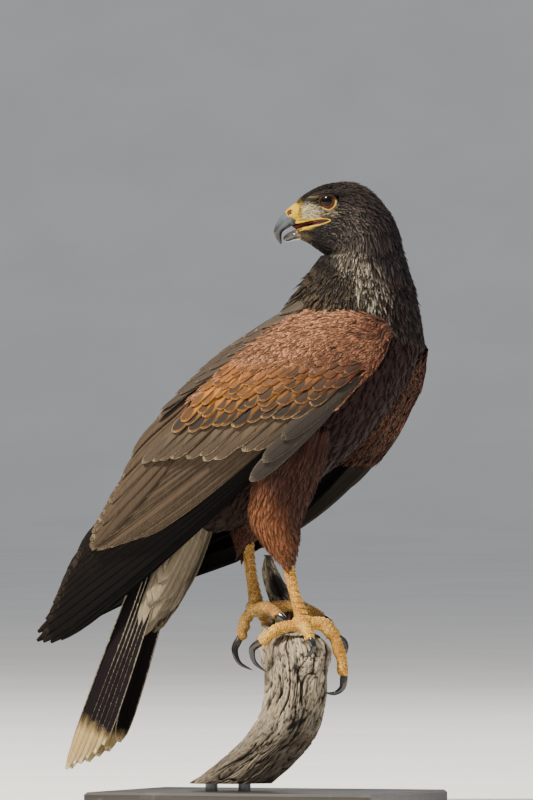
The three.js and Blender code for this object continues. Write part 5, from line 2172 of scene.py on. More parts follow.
HAND = Pattern(((54, 48, 42), (56, 48, 41)), ((112, 101, 84), (96, 86, 72)), ((50, 44, 39), (52, 45, 39)))
# The primaries are near black: partly their own dark colour and partly painted shade for the gap under the
# secondaries.
PRIMARY = Pattern(((24, 19, 18), (4, 3, 4)), ((98, 84, 68), (12, 10, 12)))
MANTLE = Pattern(
    ((82, 70, 58), (92, 79, 66)), ((146, 128, 104), (152, 134, 110)), ((72, 60, 50), (80, 68, 56))
)


@dataclass(frozen=True)
class ArmCoat(Coat):
    """The markings of a wing's arm: rufous outside and within, brown along the back, with painted shade on its
    inner face and on the far wing's lower part.
    """

    def at(self, points: Array) -> tuple[Array, Array]:
        """Read the ground and fringe colours at places on the arm.

        Args:
            points: Places in the scene's frame, in millimetres.

        Returns:
            Linear ground and fringe colours.
        """
        ground, fringe = super().at(points)
        for wing in WINGS:
            a, b, off = wing.spots(points)
            here = points[:, 0] * wing.side.value > 0
            layers = [
                # The inner face is blended darker: painted shade.
                (0.6 * smooth(1, -6, off), (52, 32, 26), (96, 62, 44)),
                (smooth(71, 77, b), (54, 44, 36), (108, 92, 72)),
                (0.8 * smooth(0, -5, a), (52, 38, 32), (110, 84, 66)),
                (0.75 * smooth(48, 18, b) * smooth(64, 24, a), (74, 42, 32), (138, 88, 60)),
            ]
            # The far wing's lower part is blended darker: painted shade on the side away from the light.
            if wing.side is Side.LEFT:
                layers.append((0.62 * smooth(30, 14, b), (50, 30, 24), (92, 56, 38)))
            for share, dark, edge in layers:
                share = (share * here)[:, None]
                ground, fringe = mix(ground, linear(dark), share), mix(fringe, linear(edge), share)
        patch = np.sin(
            points[:, 0] * 0.9 + points[:, 1] * 0.35
        ) * np.sin(points[:, 2] * 0.7 - points[:, 1] * 0.4)
        share = (0.35 * smooth(0.1, 0.9, patch))[:, None]
        return mix(ground, linear((92, 54, 36)), share), fringe


ARM_COAT = ArmCoat(
    (126, 82, 56), (236, 180, 140),
    (
        Marking((60, 20, 420), (80, 26, 22), (60, 49, 40), (108, 90, 70), 0.5),
        Marking((40, 30, 270), (60, 60, 30), (70, 42, 34), (118, 74, 52), 0.5),
    ),
)


@dataclass
class WingCoat:
    """The feathers of one wing, in pieces by kind."""

    wing: Wing
    coverts: Material
    flight: Material
    fluff: Material
    tips: tuple[float, ...] = (58, 74, 88, 100, 109)
    starts: tuple[float, ...] = (0.0, 0.0, 0.0, 0.02, 0.06)

    def build(self, unwrap: ByPlace) -> list[Piece]:
        """Make the wing's pieces.

        Args:
            unwrap: Gives a place's spot on the bake map.

        Returns:
            The pieces.
        """
        wing, word = self.wing, self.wing.side.word
        flight = [
            wing.lay(PRIMARIES, PRIMARY, unwrap, 1, 4.0),
            wing.lay(SECONDARIES, FLIGHT, unwrap, 2, 4.0),
            wing.lay(TERTIALS, FLIGHT, unwrap, 22, 4.0),
        ]
        rows = [
            wing.lay(wing.coverts(11, 62, 0, 7.4), GREATER, unwrap, 3),
            wing.lay(wing.coverts(12, 80, 40, 7.0, 0.0, 1.03), MEDIAN, unwrap, 4),
            wing.lay(HAND_COVERTS if wing.side is Side.RIGHT else FAR_HAND_COVERTS, HAND, unwrap, 5),
        ]
        for number, (tip, pattern) in enumerate(zip(self.tips, LESSER)):
            half = 6.5 - 0.85 * number
            row = wing.coverts(
                13 + 3 * number, tip + 28 - 2 * number, tip, half, self.starts[number], 1.05 + 0.02 * number
            )
            rows.append(wing.lay(row, pattern, unwrap, 6 + number, 1.4))
        rows.append(wing.lay(SHOULDER, MANTLE, unwrap, 20))
        rows.append(wing.lay(SCAPULARS, MANTLE, unwrap, 21))
        arm = Surface(wing.arm(-0.4))
        spacing = 2.12 if wing.side is Side.RIGHT else 2.5
        plumage = Plumage(spacing, 12.5, 1.6, 1.7, POINTED, 5, 3, 0.3, 0.1, 0.12, 0.34, wing.seed, 0.12)
        return [
            mount(coat_piece(f"wing_flight_{word}", flight, self.flight), "plumage_wing", f"wing_{word}"),
            mount(coat_piece(f"wing_coverts_{word}", rows, self.coverts), "plumage_wing", f"wing_{word}"),
            mount(coat_piece(f"wing_arm_{word}", [plumage.grow(arm, ARM_COAT, unwrap, wing.bare)], self.fluff),
                  "plumage_wing", f"wing_{word}"),
        ]


WINGS = (
    Wing(Side.RIGHT, (101, 363), (-204, 123), Graph(((0, 0), (400, 0))), 100),
    Wing(
        Side.LEFT, (99, 352), (-208, 130),
        Graph(
            (
                (0, 4), (31, 13), (67, 21), (92, 25), (131, 30), (180, 33), (220, 30), (254, 19), (325, 1),
                (380, 0)
            )
        ), 200,
    ),
)


# Tail


@dataclass(frozen=True)
class Tail:
    """The folded tail: two slopes of feathers from a ridge, with soft feathers over and under."""

    root: tuple[float, float] = (-104, 250)
    tip: tuple[float, float] = (-193, 30)
    pitch: float = math.radians(48)
    twist: float = math.radians(4)
    per_side: int = 6
    half: float = 8.2
    white_from: float = 198.0
    white_root: float = 46.0

    def point(self, s: Array, across: Array, deep: Array) -> Array:
        """Give places by the tail: down its length, across from the ridge and deep to the back.

        Args:
            s: How far down the tail.
            across: How far across from its ridge.
            deep: How far to the back.

        Returns:
            The places.
        """
        down = heading(self.root, self.tip)
        cos, sin = math.cos(self.twist), math.sin(self.twist)
        l, n = across * cos - deep * sin, across * sin + deep * cos
        return bird(self.root[0] + down[0] * s + down[1] * n, l, self.root[1] + down[1] * s - down[0] * n)

    def place(self, side: float, s: Array, q: Array, out: Array) -> Array:
        """Give places on a slope: out from the ridge along it, and out of it."""
        cos, sin = math.cos(self.pitch), math.sin(self.pitch)
        return self.point(s, side * (q * cos + out * sin), -q * sin + out * cos)

    def stub(self) -> Array:
        """Give the rings of the fleshy root.

        Returns:
            The rings.
        """
        rings = []
        for s, q, top, under in (
            (2, 14, 1, -18), (24, 17, 1, -24), (44, 17, 0.8, -25), (57, 15.5, -0.4, -18)
        ):
            ring = [self.place(-1, s, np.array(q * k), np.array(top - 1.6)) for k in (1.0, 0.5, 0.0)]
            ring += [self.place(1, s, np.array(q * k), np.array(top - 1.6)) for k in (0.5, 1.0)]
            ring += [
                self.point(np.array(s), np.array(k * q * 0.55), np.array(under * d)) for k,
                d in ((1, 0.94), (0, 1.0), (-1, 0.94))
            ]
            rings.append(ring)
        return refine(np.array(rings), 4)

    def feathers(self, side: float, count: int, root: Callable, tip: Callable, half: float, outline: Outline,
                 out: Callable, stations: int, ground: Callable, fringe: Colour, unwrap: Callable,
                 seed: int) -> Vanes:
        """Lay feathers on one slope.

        Args:
            side: The slope, -1 or 1.
            count: How many feathers.
            root: Gives each root's s and q.
            tip: Gives each tip's s and q.
            half: Their half-width.
            outline: Their shape.
            out: Gives their height off the slope, by number and place along.
            stations: Stations along each.
            ground: Gives their colours by how far down the tail.
            fringe: The colour of their edges.
            unwrap: Gives a place's spot on the bake map.
            seed: Where chance starts.

        Returns:
            The feathers.
        """
        rng = np.random.default_rng(seed)
        i, t = np.arange(count)[:, None].astype(float), 1 - (1 - np.linspace(0, 1, stations)[None]) ** 1.5
        (root_s, root_q), (tip_s, tip_q) = root(i), tip(i)
        s = mix(root_s, tip_s + rng.uniform(-1.5, 1.5, (count, 1)), t)
        q = mix(root_q, tip_q, t)
        height = out(i, t) + 0 * s
        middle = self.place(side, s, q, height)
        normal = unit(self.place(side, s, q, height + 1) - middle)
        ahead = unit(np.gradient(middle, axis=1))
        across = unit(np.cross(normal, ahead))
        u = np.linspace(-1, 1, LONG_PLACES)
        down = np.broadcast_to(
            s[..., None], s.shape + (LONG_PLACES,)
        ) + 1.2 * np.sin(5 * u + 3 * i[..., None])
        tone = (1 + rng.normal(0, 0.12, (count, 1, 1, 1))).clip(0.75, 1.25)
        return Vanes(
            middle, across, normal, half * outline.at(t) + 0 * s, ground(down) * tone,
            np.tile(linear(fringe), (count, 1)), unwrap(middle[:, 0]), LONG_PLACES, 0.12, 0.32,
            (TUFT_PATCH * 4, TUFT_PATCH * 4), seed,
        )

    def bands(self, s: Array) -> Array:
        """Give the tail's colours down its length: white, dark, and white at the tip."""
        dark = smooth(self.white_root - 9, self.white_root + 9, s) * (
            1 - smooth(self.white_from - 4, self.white_from + 4, s)
        )
        return mix(linear((156, 135, 94)), linear((20, 15, 18)), dark[..., None])

    def build(self, finish: Material, soft: Material, unwrap: Callable) -> list[Piece]:
        """Make the tail's pieces.

        Args:
            finish: The material of its long feathers.
            soft: The material of the soft ones.
            unwrap: Gives a place's spot on the bake map.

        Returns:
            The pieces.
        """
        long, upper = [], []
        for side in (-1.0, 1.0):
            long.append(self.feathers(
                side, self.per_side, lambda i: (14.0, 6.3 + 2.5 * i),
                lambda i: (236 - 3.4 * i - 0.5 * i * i, 7.6 + 6 * i),
                self.half, BLUNT, lambda i, t: -0.85 * i, 26, self.bands, WHITE, unwrap, 31,
            ))
            upper.append(self.feathers(
                side, 4, lambda i: (8.0, 4.5 + 3.6 * i), lambda i: (84 - 12 * i, 4 + 7 * i), 7.0, ROUNDED,
                lambda i, t: mix(0.2, 4.8, np.minimum(3 * t, 1)) - 1.5 * i, 9,
                lambda s: mix(linear(RUMP), linear(WHITE), smooth(60, 74, s)[..., None]), WHITE, unwrap, 32,
            ))
            # These coverts run from the rump's colour into the white painted darker as shade.
            upper.append(self.feathers(
                side, 5, lambda i: (-14.0, 3 + 3.4 * i), lambda i: (42 - 5 * i, 3 + 5.4 * i), 6.4, ROUNDED,
                lambda i, t: mix(3.4, 6.4, t) - 1.2 * i, 8,
                lambda s: mix(linear(RUMP), linear(SHADED_WHITE), smooth(24, 40, s)[..., None]), SHADED_WHITE, unwrap, 33,
            ))
        under = self.under(unwrap)
        return [
            mount(coat_piece("tail_feathers", long, finish), "plumage_tail", "tail"),
            mount(coat_piece("tail_coverts", upper, soft), "plumage_tail", "tail"),
            mount(coat_piece("undertail_coverts", under, soft), "plumage_tail", "tail"),
        ]

    def under(self, unwrap: Callable) -> list[Vanes]:
        """Lay the soft white feathers under the tail's root, in rows round the underside.

        Args:
            unwrap: Gives a place's spot on the bake map.

        Returns:
            The feathers.
        """
        forward, leftward = toward(0.927, 0.0, -0.375), toward(0.0, 1.0, 0.0)
        batches = []
        rows = (
            (11, (-84, 226), (-124, 132), (17, 13), (14, 11), 8.4),
            (11, (-80, 234), (-117, 144), (18, 16), (15, 12.6), 8.6),
            (11, (-77, 240), (-110, 160), (18, 18), (15, 14.2), 8.6),
            (11, (-74, 246), (-103, 178), (17, 19.4), (14, 15.6), 8.4),
        )
        for number, (count, root, tip, wide, deep, half) in enumerate(rows):
            rng = np.random.default_rng(40 + number)
            t = np.linspace(0, 1, 12)[None]
            angle = np.radians(
                mix(-100, 100, (np.arange(count) + 0.5 * (number % 2)) / count) + rng.uniform(-5, 5, count)
            )[:, None]
            reach = t * rng.uniform(0.9, 1.04, (count, 1)) * (1 - 0.2 * np.cos(angle).clip(0, 1) ** 2)
            line = bird(mix(root[0], tip[0], reach), 0.0 * reach, mix(root[1], tip[1], reach))
            side = (mix(wide[0], wide[1], reach) * np.sin(angle))[..., None] * leftward
            front = (mix(deep[0], deep[1], reach) * np.cos(angle))[..., None] * forward
            middle = line + side + front + (1.8 * np.sin(math.pi * t))[..., None] * forward
            out = leftward * np.sin(angle)[..., None] + forward * np.cos(angle)[..., None]
            out = np.broadcast_to(out, middle.shape)
            ahead = unit(np.gradient(middle, axis=1))
            across = unit(np.cross(ahead, out))
            tilt = rng.normal(0, 0.05, (count, 1, 1))
            across = unit(across + out * tilt)
            normal = facing(unit(np.cross(across, ahead)), out)
            tone = rng.uniform(0.9, 1.05, (count, 1))
            # Their colours are the white painted darker as shade under the wing.
            batches.append(Vanes(
                middle, across, normal, half * ROUNDED.at(t) + 0 * reach, linear(SHADED_WHITE) * tone,
                linear(SHADED_DOWN_EDGE) * tone,
                unwrap(middle[:, 0]), LONG_PLACES, 0.03, 0.3, (TUFT_PATCH * 2, TUFT_PATCH * 2), 40 + number,
            ))
        return batches


TAIL = Tail()


# Head


@dataclass
class Face:
    """What shows of the head beside its coat: eyes, lids, cere, bill, gape and tongue."""

    skin: Skin
    wax: Material
    horn: Material
    wet: Material

    def eye(self, side: Side) -> Piece:
        """Make an eyeball with a slight bulge where it looks out.

        Args:
            side: Which side.

        Returns:
            The piece.
        """
        look, ahead, up = EYES.axes(side)
        ball = sphere(np.zeros(3), 1.0, 64, 96)
        facing = dot(unit(ball.points), look)
        bulge = 0.5 * smooth(math.cos(math.radians(44)), 1.0, facing)
        away = np.sqrt(np.maximum(1 - facing[:, 0] ** 2, 0))
        away = np.where(facing[:, 0] < 0, 1.0, away)
        ball.points = EYES.centre(side) + unit(ball.points) * (EYES.radius + bulge)
        piece = ball.build(f"eyeball_{side.word}", self.wet)
        # high grows toward the top and front of the ball; the eye's finish paints that part dark as shade from
        # the brow.
        high = dot(unit(ball.points - EYES.centre(side)), 0.8 * up + 0.6 * ahead)[:, 0]
        set_number(piece, "away", away)
        set_number(piece, "high", high)
        return mount(piece, "eye", f"eye_{side.word}")

    def lids(self, side: Side) -> Piece:
        """Make the lid ring that rests on an eyeball, pale below and painted dark above as shade from the
        brow.

        Args:
            side: Which side.

        Returns:
            The piece.
        """
        look, ahead, up = EYES.axes(side)
        turns = circle(96)
        profile = (
            (45, 0.1), (45.6, 0.75), (49, 1.15), (54, 1.1), (63, 0.45), (70, -0.9), (60, -1.2), (50, -0.6)
        )
        rings = []
        for degrees, height in profile:
            angle = np.radians(
                degrees - 13.0 * smooth(-0.1, 0.9, np.sin(turns + 0.2)) * (degrees < 62) - 1.5
                * smooth(0.3, 1, -np.sin(turns))
            )
            reach = EYES.radius + height + 0.1 * np.sin(23 * turns) * (height > 0.9)
            round_ = ahead * np.cos(turns)[:, None] + up * np.sin(turns)[:, None]
            rings.append(
                look * (np.cos(angle) * reach)[:, None] + round_ * (np.sin(angle) * reach)[:, None]
            )
        rings = np.array(rings).transpose(1, 0, 2) + EYES.centre(side)
        count, sides = rings.shape[:2]
        i, j = np.meshgrid(np.arange(count), np.arange(sides), indexing="ij")
        k, n = (j + 1) % sides, (i + 1) % count
        quads = np.stack([i * sides + j, i * sides + k, n * sides + k, n * sides + j], -1).reshape(-1, 4)
        if side is Side.LEFT:
            quads = quads[:, ::-1]
        piece = Shell(rings.reshape(-1, 3), quads).build(f"lids_{side.word}", self.wax)
        # Only the inner rim below and in front stays pale; the rest is painted near black as shade from the
        # brow.
        below = np.repeat(-0.42 * np.cos(turns) - 0.9 * np.sin(turns), sides)[:, None]
        shade = 1 - smooth(0.1, 0.5, below) * (np.tile(np.arange(sides), count)[:, None] < 4)
        tint(
            piece,
            mix(linear((196, 172, 92)), linear((26, 20, 18)), shade),
            mix(linear((176, 150, 80)), linear((20, 16, 14)), shade),
        )
        return mount(piece, "cere_skin", "head")

    def cere(self) -> Piece:
        """Make the soft yellow skin at the bill's root, with its nostrils.

        Returns:
            The piece.
        """
        stations = (
            Station((FACE_X - 3.5, 0.6), (FACE_X - 2.8, -17.0), 9.4, -0.08),
            Station((FACE_X + 0.3, -1.6), (FACE_X - 0.4, -18.0), 8.9, -0.1),
            Station((31.7, -4.7), (27.6, -18.6), 8.1, -0.12),
            Station((34.6, -7.8), (28.8, -19.0), 7.3, -0.12),
            Station((35.1, -8.9), (29.2, -19.1), 6.6, -0.12),
        )
        piece = loft(refine(rings_of(stations, HEAD, 72), 12)).build("cere_skin", self.wax)
        for side in Side:
            hole = sphere(
                HEAD(NOSTRIL[0], side.value * NOSTRIL[1], NOSTRIL[2]), (1.25, 1.9, 1.9), 16, 24
            ).build("nostril_tool", self.wax)
            apply_modifier(piece, "BOOLEAN", object=hole, operation="DIFFERENCE", solver="EXACT")
            bpy.data.objects.remove(hole)
        local = HEAD.local(points_of(piece))
        near = np.hypot(local[:, 0] - NOSTRIL[0], local[:, 2] - NOSTRIL[2])[:, None]
        # Points in and just round the nostrils get a dark brown: painted shade in the holes.
        inner = (np.abs(local[:, 1]) < 7.2)[:, None] & (near < 2.6)
        ground = np.where(inner, linear((74, 44, 20)), linear(YELLOW))
        ahead = local[:, :1] - np.interp(
            local[:, 2:], [-17.0, -14.0, -11.0, -8.1], [24.6, 26.8, 31.2, 34.6]
        )
        horn = smooth(-0.5, 0.9, ahead) * (near > 3.2)
        fringe = np.where(inner, linear((60, 36, 20)), linear((208, 182, 30)))
        tint(piece, mix(ground, linear(HORN_BLUE), horn), mix(fringe, linear(HORN_EDGE), horn))
        return mount(piece, "cere_skin", "cere")

    def bill(self) -> list[Piece]:
        """Make the two halves of the bill, blue-grey at the root and black at the tip.

        Returns:
            The pieces.
        """
        upper = (
            Station((34.7, -8.3), (28.9, -19.1), 6.9, -0.12),
            Station((35.6, -9.0), (29.4, -19.4), 6.8, -0.12),
            Station((39.2, -12.6), (31.3, -20.8), 5.9, -0.12),
            Station((42.2, -18), (34.3, -22.4), 4.8, -0.1),
            Station((43.6, -23.6), (36.8, -24.8), 3.6),
            Station((42.4, -28.6), (37.4, -27.8), 2.3),
            Station((39.6, -32.2), (37.3, -31.2), 1.1),
            Station((38.2, -33.6), (37.4, -33.0), 0.35),
        )
        lower = (
            Station((17.0, -23.6), (18.0, -27.4), 4.4),
            Station((22.0, -22.0), (22.8, -29.8), 7.2),
            Station((FACE_X, -22.4), (FACE_X + 0.3, -30.4), 7.3),
            Station((29.8, -23.3), (29.6, -31.1), 6.1),
            Station((32.2, -24.6), (31.4, -31.5), 4.8),
            Station((34.6, -26.4), (33.6, -31.5), 3.2),
            Station((36.2, -28.4), (35.6, -30.8), 1.2),
        )
        pieces = []
        halves = (
            ("bill_horn_upper", "bill_upper", upper, 12, HORN_BLUE, lambda x, z: 1 - smooth(-28, -12, z)),
            (
                "bill_horn_lower", "bill_lower", lower, 10, (74, 68, 64), lambda x,
                z: 0.4 + smooth(30, 35, x) * 0.4
            ),
        )
        for name, node, stations, steps, colour, darken in halves:
            piece = loft(refine(rings_of(stations, HEAD, 64), steps)).build(name, self.horn)
            local = HEAD.local(points_of(piece))
            dark = darken(local[:, :1], local[:, 2:])
            ground = mix(linear(colour), linear((22, 22, 25)), dark)
            fringe = mix(linear(HORN_EDGE), linear((30, 30, 34)), dark)
            root = 1 - smooth(21.5, 27, local[:, :1])
            tint(
                piece, mix(ground, linear((150, 128, 74)), root), mix(fringe, linear((140, 124, 84)), root)
            )
            pieces.append(mount(piece, "bill_horn", node))
        return pieces

    def edge_of_face(self, x: float, z: float, side: Side) -> Array:
        """Find the head's side at a height and distance along it.

        Args:
            x: How far toward the bill.
            z: How high.
            side: Which side.

        Returns:
            The place.
        """
        start, end = HEAD(x, side.value * 30.0, z), HEAD(x, 0.0, z)
        hit = self.skin.tree.ray_cast(Vector(start), Vector(unit(end - start)))[0]
        return np.array(hit) if hit is not None else HEAD(x, side.value * 9.0, z)

    def gape(self) -> Piece:
        """Make the yellow fleshy rims along both edges of the mouth.

        Returns:
            The piece.
        """
        shells = []
        reach = np.linspace(-1.4, 26.0, 11)
        upper = list(
            zip(
                reach,
                np.interp(reach, [-1.4, 1, 6.3, 15.4, 22.7, 26], [-15.1, -14.2, -13.8, -14.9, -16.6, -17.2])
            )
        )
        lower = list(
            zip(
                reach,
                np.interp(reach, [-1.4, 1, 6.2, 15.6, 21.6, 26], [-15.3, -15.9, -17.6, -19.8, -21.9, -23.9])
            )
        )
        for side in Side:
            for edge, sign in ((upper, 1), (lower, -1)):
                places = []
                for x, z in edge:
                    found = self.edge_of_face(min(x, 25.5), z + sign * 1.4, side)
                    local = HEAD.local(found)
                    inward = mix(0.1, 0.8, float(smooth(-1.4, 5.0, x))) + 0.25 * max(x - 25.5, 0)
                    places.append(
                        HEAD(x, local[1] - side.value * inward, z + sign * 0.5 * min((x + 1.4) / 3, 1))
                    )
                line = smooth_line(places, 60)
                t = np.linspace(0, 1, 60)
                thick = 0.35 + 0.75 * smooth(-0.1, 0.4, t) * mix(1.0, 0.8, t)
                shells.append(loft(tube(line, thick * 1.1, thick, 20)))
        piece = join_shells(shells).build("gape_rims", self.wax)
        tint(piece, *(np.tile(linear(c), (len(piece.data.vertices), 1)) for c in (YELLOW, (228, 198, 70))))
        return mount(piece, "cere_skin", "cere")

    def tongue(self) -> Piece:
        """Make the tongue and the floor of the mouth.

        Returns:
            The piece.
        """
        stations = (
            Station((6, -16.5), (6, -19.5), 6.5),
            Station((14, -18.2), (14, -21.5), 6.6),
            Station((22, -20.2), (22, -24), 5.6),
            Station((26.4, -22.6), (26.4, -25.0), 3.6),
            Station((28.4, -23.8), (28.4, -25), 1.6),
        )
        corner = []
        for x in (-0.4, 2.5, 5.5, 8.5, 11.5):
            top = float(np.interp(x, [0, 6.3, 15.4], [-14.3, -13.9, -14.7]))
            low = float(np.interp(x, [0, 9.1, 18.1], [-14.9, -16.8, -19.1]))
            edge = HEAD.local(self.edge_of_face(x, top + 1.4, Side.RIGHT))[1]
            corner.append(Station((x, top), (x, low), abs(edge) + 0.45))
        lining = (
            *corner,
            Station((16, -14), (16, -19.6), 7.4),
            Station((24, -16.4), (24, -21.8), 5.4),
            Station((28.6, -18.9), (25.0, -22.4), 4.0),
            Station((29.2, -19.6), (26.2, -21.8), 1.5),
        )
        tongue = loft(refine(rings_of(stations, HEAD, 32), 8))
        piece = join_shells([tongue, loft(refine(rings_of(lining, HEAD, 32), 6))]).build("tongue", self.wax)
        share = (np.arange(len(piece.data.vertices)) < len(tongue.points))[:, None]
        tint(
            piece,
            np.where(share, linear((126, 48, 50)), linear(MOUTH_RED)),
            np.where(share, linear((150, 70, 68)), linear(MOUTH_EDGE)),
        )
        return mount(piece, "cere_skin", "bill_lower")

    def build(self) -> list[Piece]:
        """Make every piece of the face."""
        eyes = [self.eye(side) for side in Side] + [self.lids(side) for side in Side]
        return [*eyes, self.cere(), *self.bill(), self.gape(), self.tongue()]


# Legs


@dataclass
class Leg:
    """A bare leg and foot with plates in front, and its claws."""

    plan: LegPlan
    skin: Material
    horn: Material
    voxel: float = 0.42

    def tarsus(self) -> Shell:
        """Give the shank with its overlapping front plates.

        Returns:
            The closed form.
        """
        last, side = self.plan.thigh[-1], self.plan.side.value
        top = bird(last.f, side * last.l, last.z + 6.0)
        foot = bird(self.plan.pad[0], self.plan.pad[1], self.plan.pad[2] + 3.0)
        t = np.linspace(0, 1, 120)
        swell = Graph(((0, 1.1), (0.2, 1.02), (0.6, 0.9), (0.88, 1.08), (1, 1.3)))(t)
        angle = circle(48)
        front = smooth(-0.1, 0.5, -np.sin(angle))
        plate = (t * 12) % 1
        step = 1.15 * (plate**1.3 - 0.4)[:, None] * front[None]
        small = 0.3 * np.sin(10 * angle)[None] * np.sin(t * 62)[:, None] * (1 - front)[None]
        radius = 5.0 * swell[:, None] + step + small
        middle = top + (foot - top) * t[:, None]
        middle[:, 1] += 1.2 * np.sin(math.pi * t)
        ring = np.stack([0.88 * np.cos(angle) * radius, np.sin(angle) * radius, 0 * radius], -1)
        return loft(middle[:, None] + ring)

    def toe(self, toe: Toe) -> Shell:
        """Give a toe, with plates on top and pads below.

        Args:
            toe: Which toe.

        Returns:
            The closed form.
        """
        given = [bird(*p) for p in toe.line]
        given.append(given[-1] + unit(bird(*toe.claw[0]) - given[-1]) * 2.0)
        line = smooth_line(given, 90)
        t = np.linspace(0, 1, 90)
        length = np.linalg.norm(np.diff(line, axis=0), axis=1).sum()
        thick = Graph(
            ((0, 5.2), (0.3, 4.4), (0.55, 4.7), (0.8, 4.1), (0.93, 3.8), (0.98, 3.1), (1, 1.8))
        )(t)
        angle = circle(40)
        top, below = np.clip(np.sin(angle), 0, 1) ** 0.6, np.clip(-np.sin(angle), 0, 1)
        plate = ((t * length / 3.0) % 1) ** 1.3 - 0.4
        pads = sum(np.exp(-(((t - c) / 0.09) ** 2)) for c in (0.3, 0.62, 0.9))
        grain = 0.26 * np.sin(11 * angle)[None] * np.sin(t * length * 2.4)[:, None]
        radius = thick[:, None] * 0.98 + 0.85 * plate[:, None] * top + 1.6 * pads[:, None] * below
        radius = radius + grain * (1 - top)
        return loft(tube(line, radius, radius * 0.95, 40))

    def foot(self) -> Piece:
        """Make the shank and foot as one skin.

        Returns:
            The piece.
        """
        pad = np.array(self.plan.pad, float)
        shells = [self.tarsus(), sphere(bird(*pad), (8.2, 9.0, 7.4))]
        shells += [self.toe(toe) for toe in self.plan.toes]
        piece = join_shells(shells).build(f"leg_{self.plan.side.word}", self.skin)
        apply_modifier(piece, "REMESH", mode="VOXEL", voxel_size=self.voxel * MM)
        piece.data.polygons.foreach_set("use_smooth", np.ones(len(piece.data.polygons), bool))
        points = points_of(piece)
        old = smooth(
            0.25, 0.75, np.array([noise.noise(Vector(p * 0.06)) * 0.5 + 0.5 for p in points])
        )[:, None]
        # Grooves in the skin are blended toward dark brown: painted shade in the creases.
        groove = hollows(piece, 0.3)[:, None] * 0.8
        shaded = 0.55 if self.plan.side is Side.LEFT else 0.0
        ground = mix(linear((214, 162, 58)), linear((190, 132, 46)), old)
        ground = mix(ground, linear((104, 84, 62)), shaded)
        fringe = mix(linear((240, 212, 128)), linear((226, 184, 94)), old)
        fringe = mix(fringe, linear((140, 96, 50)), groove + shaded * 0.4)
        tint(piece, mix(ground, linear((120, 78, 36)), groove), fringe)
        return mount(piece, "leg_skin", f"tarsus_{self.plan.side.word}", f"foot_{self.plan.side.word}")

    def claw(self, toe: Toe) -> Piece:
        """Make a claw, rooted a little inside its toe.

        Args:
            toe: Which toe.

        Returns:
            The piece.
        """
        given = [bird(*p) for p in toe.claw]
        root = bird(*toe.line[-1])
        line = smooth_line([root, *given], 52)
        t = np.linspace(0, 1, 52)
        thick = Graph(((0, 2.4), (0.16, 3.0), (0.45, 2.3), (0.8, 1.15), (0.97, 0.4), (1, 0.12)))(t)
        start = line[6] - line[0]
        side = np.cross(start, given[-1] - given[0])
        up = np.cross(side, start) * -1
        piece = loft(tube(line, thick * 0.86, thick * 1.06, 24, unit(up))).build(
            f"claw_{self.plan.side.word}_{toe.name}_horn", self.horn
        )
        dark = smooth(0.05, 0.4, np.r_[np.repeat(t, 24), 0.0, 1.0][:, None])
        tint(
            piece,
            mix(linear((44, 38, 36)), linear((12, 12, 14)), dark),
            mix(linear((78, 66, 56)), linear((28, 28, 32)), dark),
        )
        return mount(piece, "claw_horn", f"claw_{self.plan.side.word}_{toe.name}")

    def build(self) -> list[Piece]:
        """Make the leg's pieces."""
        return [self.foot(), *(self.claw(toe) for toe in self.plan.toes)]


# Perch and stand


@dataclass(frozen=True)
class WoodRing:
    """A level ring of the branch, placed as a viewer on the bird's right sees it."""

    u: float
    w: float
    z: float
    long: float
    wide: float
    turn: float = 0.0
    slope: float = 0.0

    def ring(self, row: int, sides: int) -> Array:
        """Give the ring's points with their grooves.

        Args:
            row: The ring's number from the bottom.
            sides: How many points a ring has.

        Returns:
            The points.
        """
        angle = circle(sides)
        lean = math.radians(self.turn)
        groove = 1 + 0.05 * np.cos(5 * angle + 0.5 * row) + 0.03 * np.cos(9 * angle + 2)
        radius = groove / np.hypot(np.cos(angle - lean) / self.long, np.sin(angle - lean) / self.wide)
        x, y = radius * np.cos(angle), radius * np.sin(angle)
        return seen(self.u + x, self.w + y, self.z + self.slope * y)


def seen(u: Array, w: Array, z: Array) -> Array:
    """Turn a place across, away and up for that viewer into the scene's frame."""
    cos, sin = math.cos(math.radians(20)), math.sin(math.radians(20))
    return bird(u * cos - w * sin, u * sin + w * cos, z)


BRANCH = (
    WoodRing(-49, 0, 18, 33, 22),
    WoodRing(-35, 0, 28, 31, 23),
    WoodRing(-19, 0, 42, 29, 23),
    WoodRing(-7, 0, 56, 27, 24),
    WoodRing(1, 0, 72, 25, 24, 123),
    WoodRing(4, 0, 88, 28, 22, 123),
    WoodRing(4, 0, 103, 33, 21, 123, 0.04),
    WoodRing(4, 0, 117, 39, 22, 123, 0.1),
    WoodRing(2, 1, 129, 42, 20.5, 123, 0.16),
    WoodRing(1, 2, 138, 36, 14, 123, 0.2),
)
SPLINTER = (
    WoodRing(-2, 28, 120, 17, 7),
    WoodRing(0, 30, 144, 16, 6.5),
    WoodRing(-2, 31, 158, 14, 6),
    WoodRing(-10, 32, 172, 10, 5),
    WoodRing(-16, 33, 187, 5.5, 3.6),
    WoodRing(-18, 33, 198, 1.6, 1.2),
)


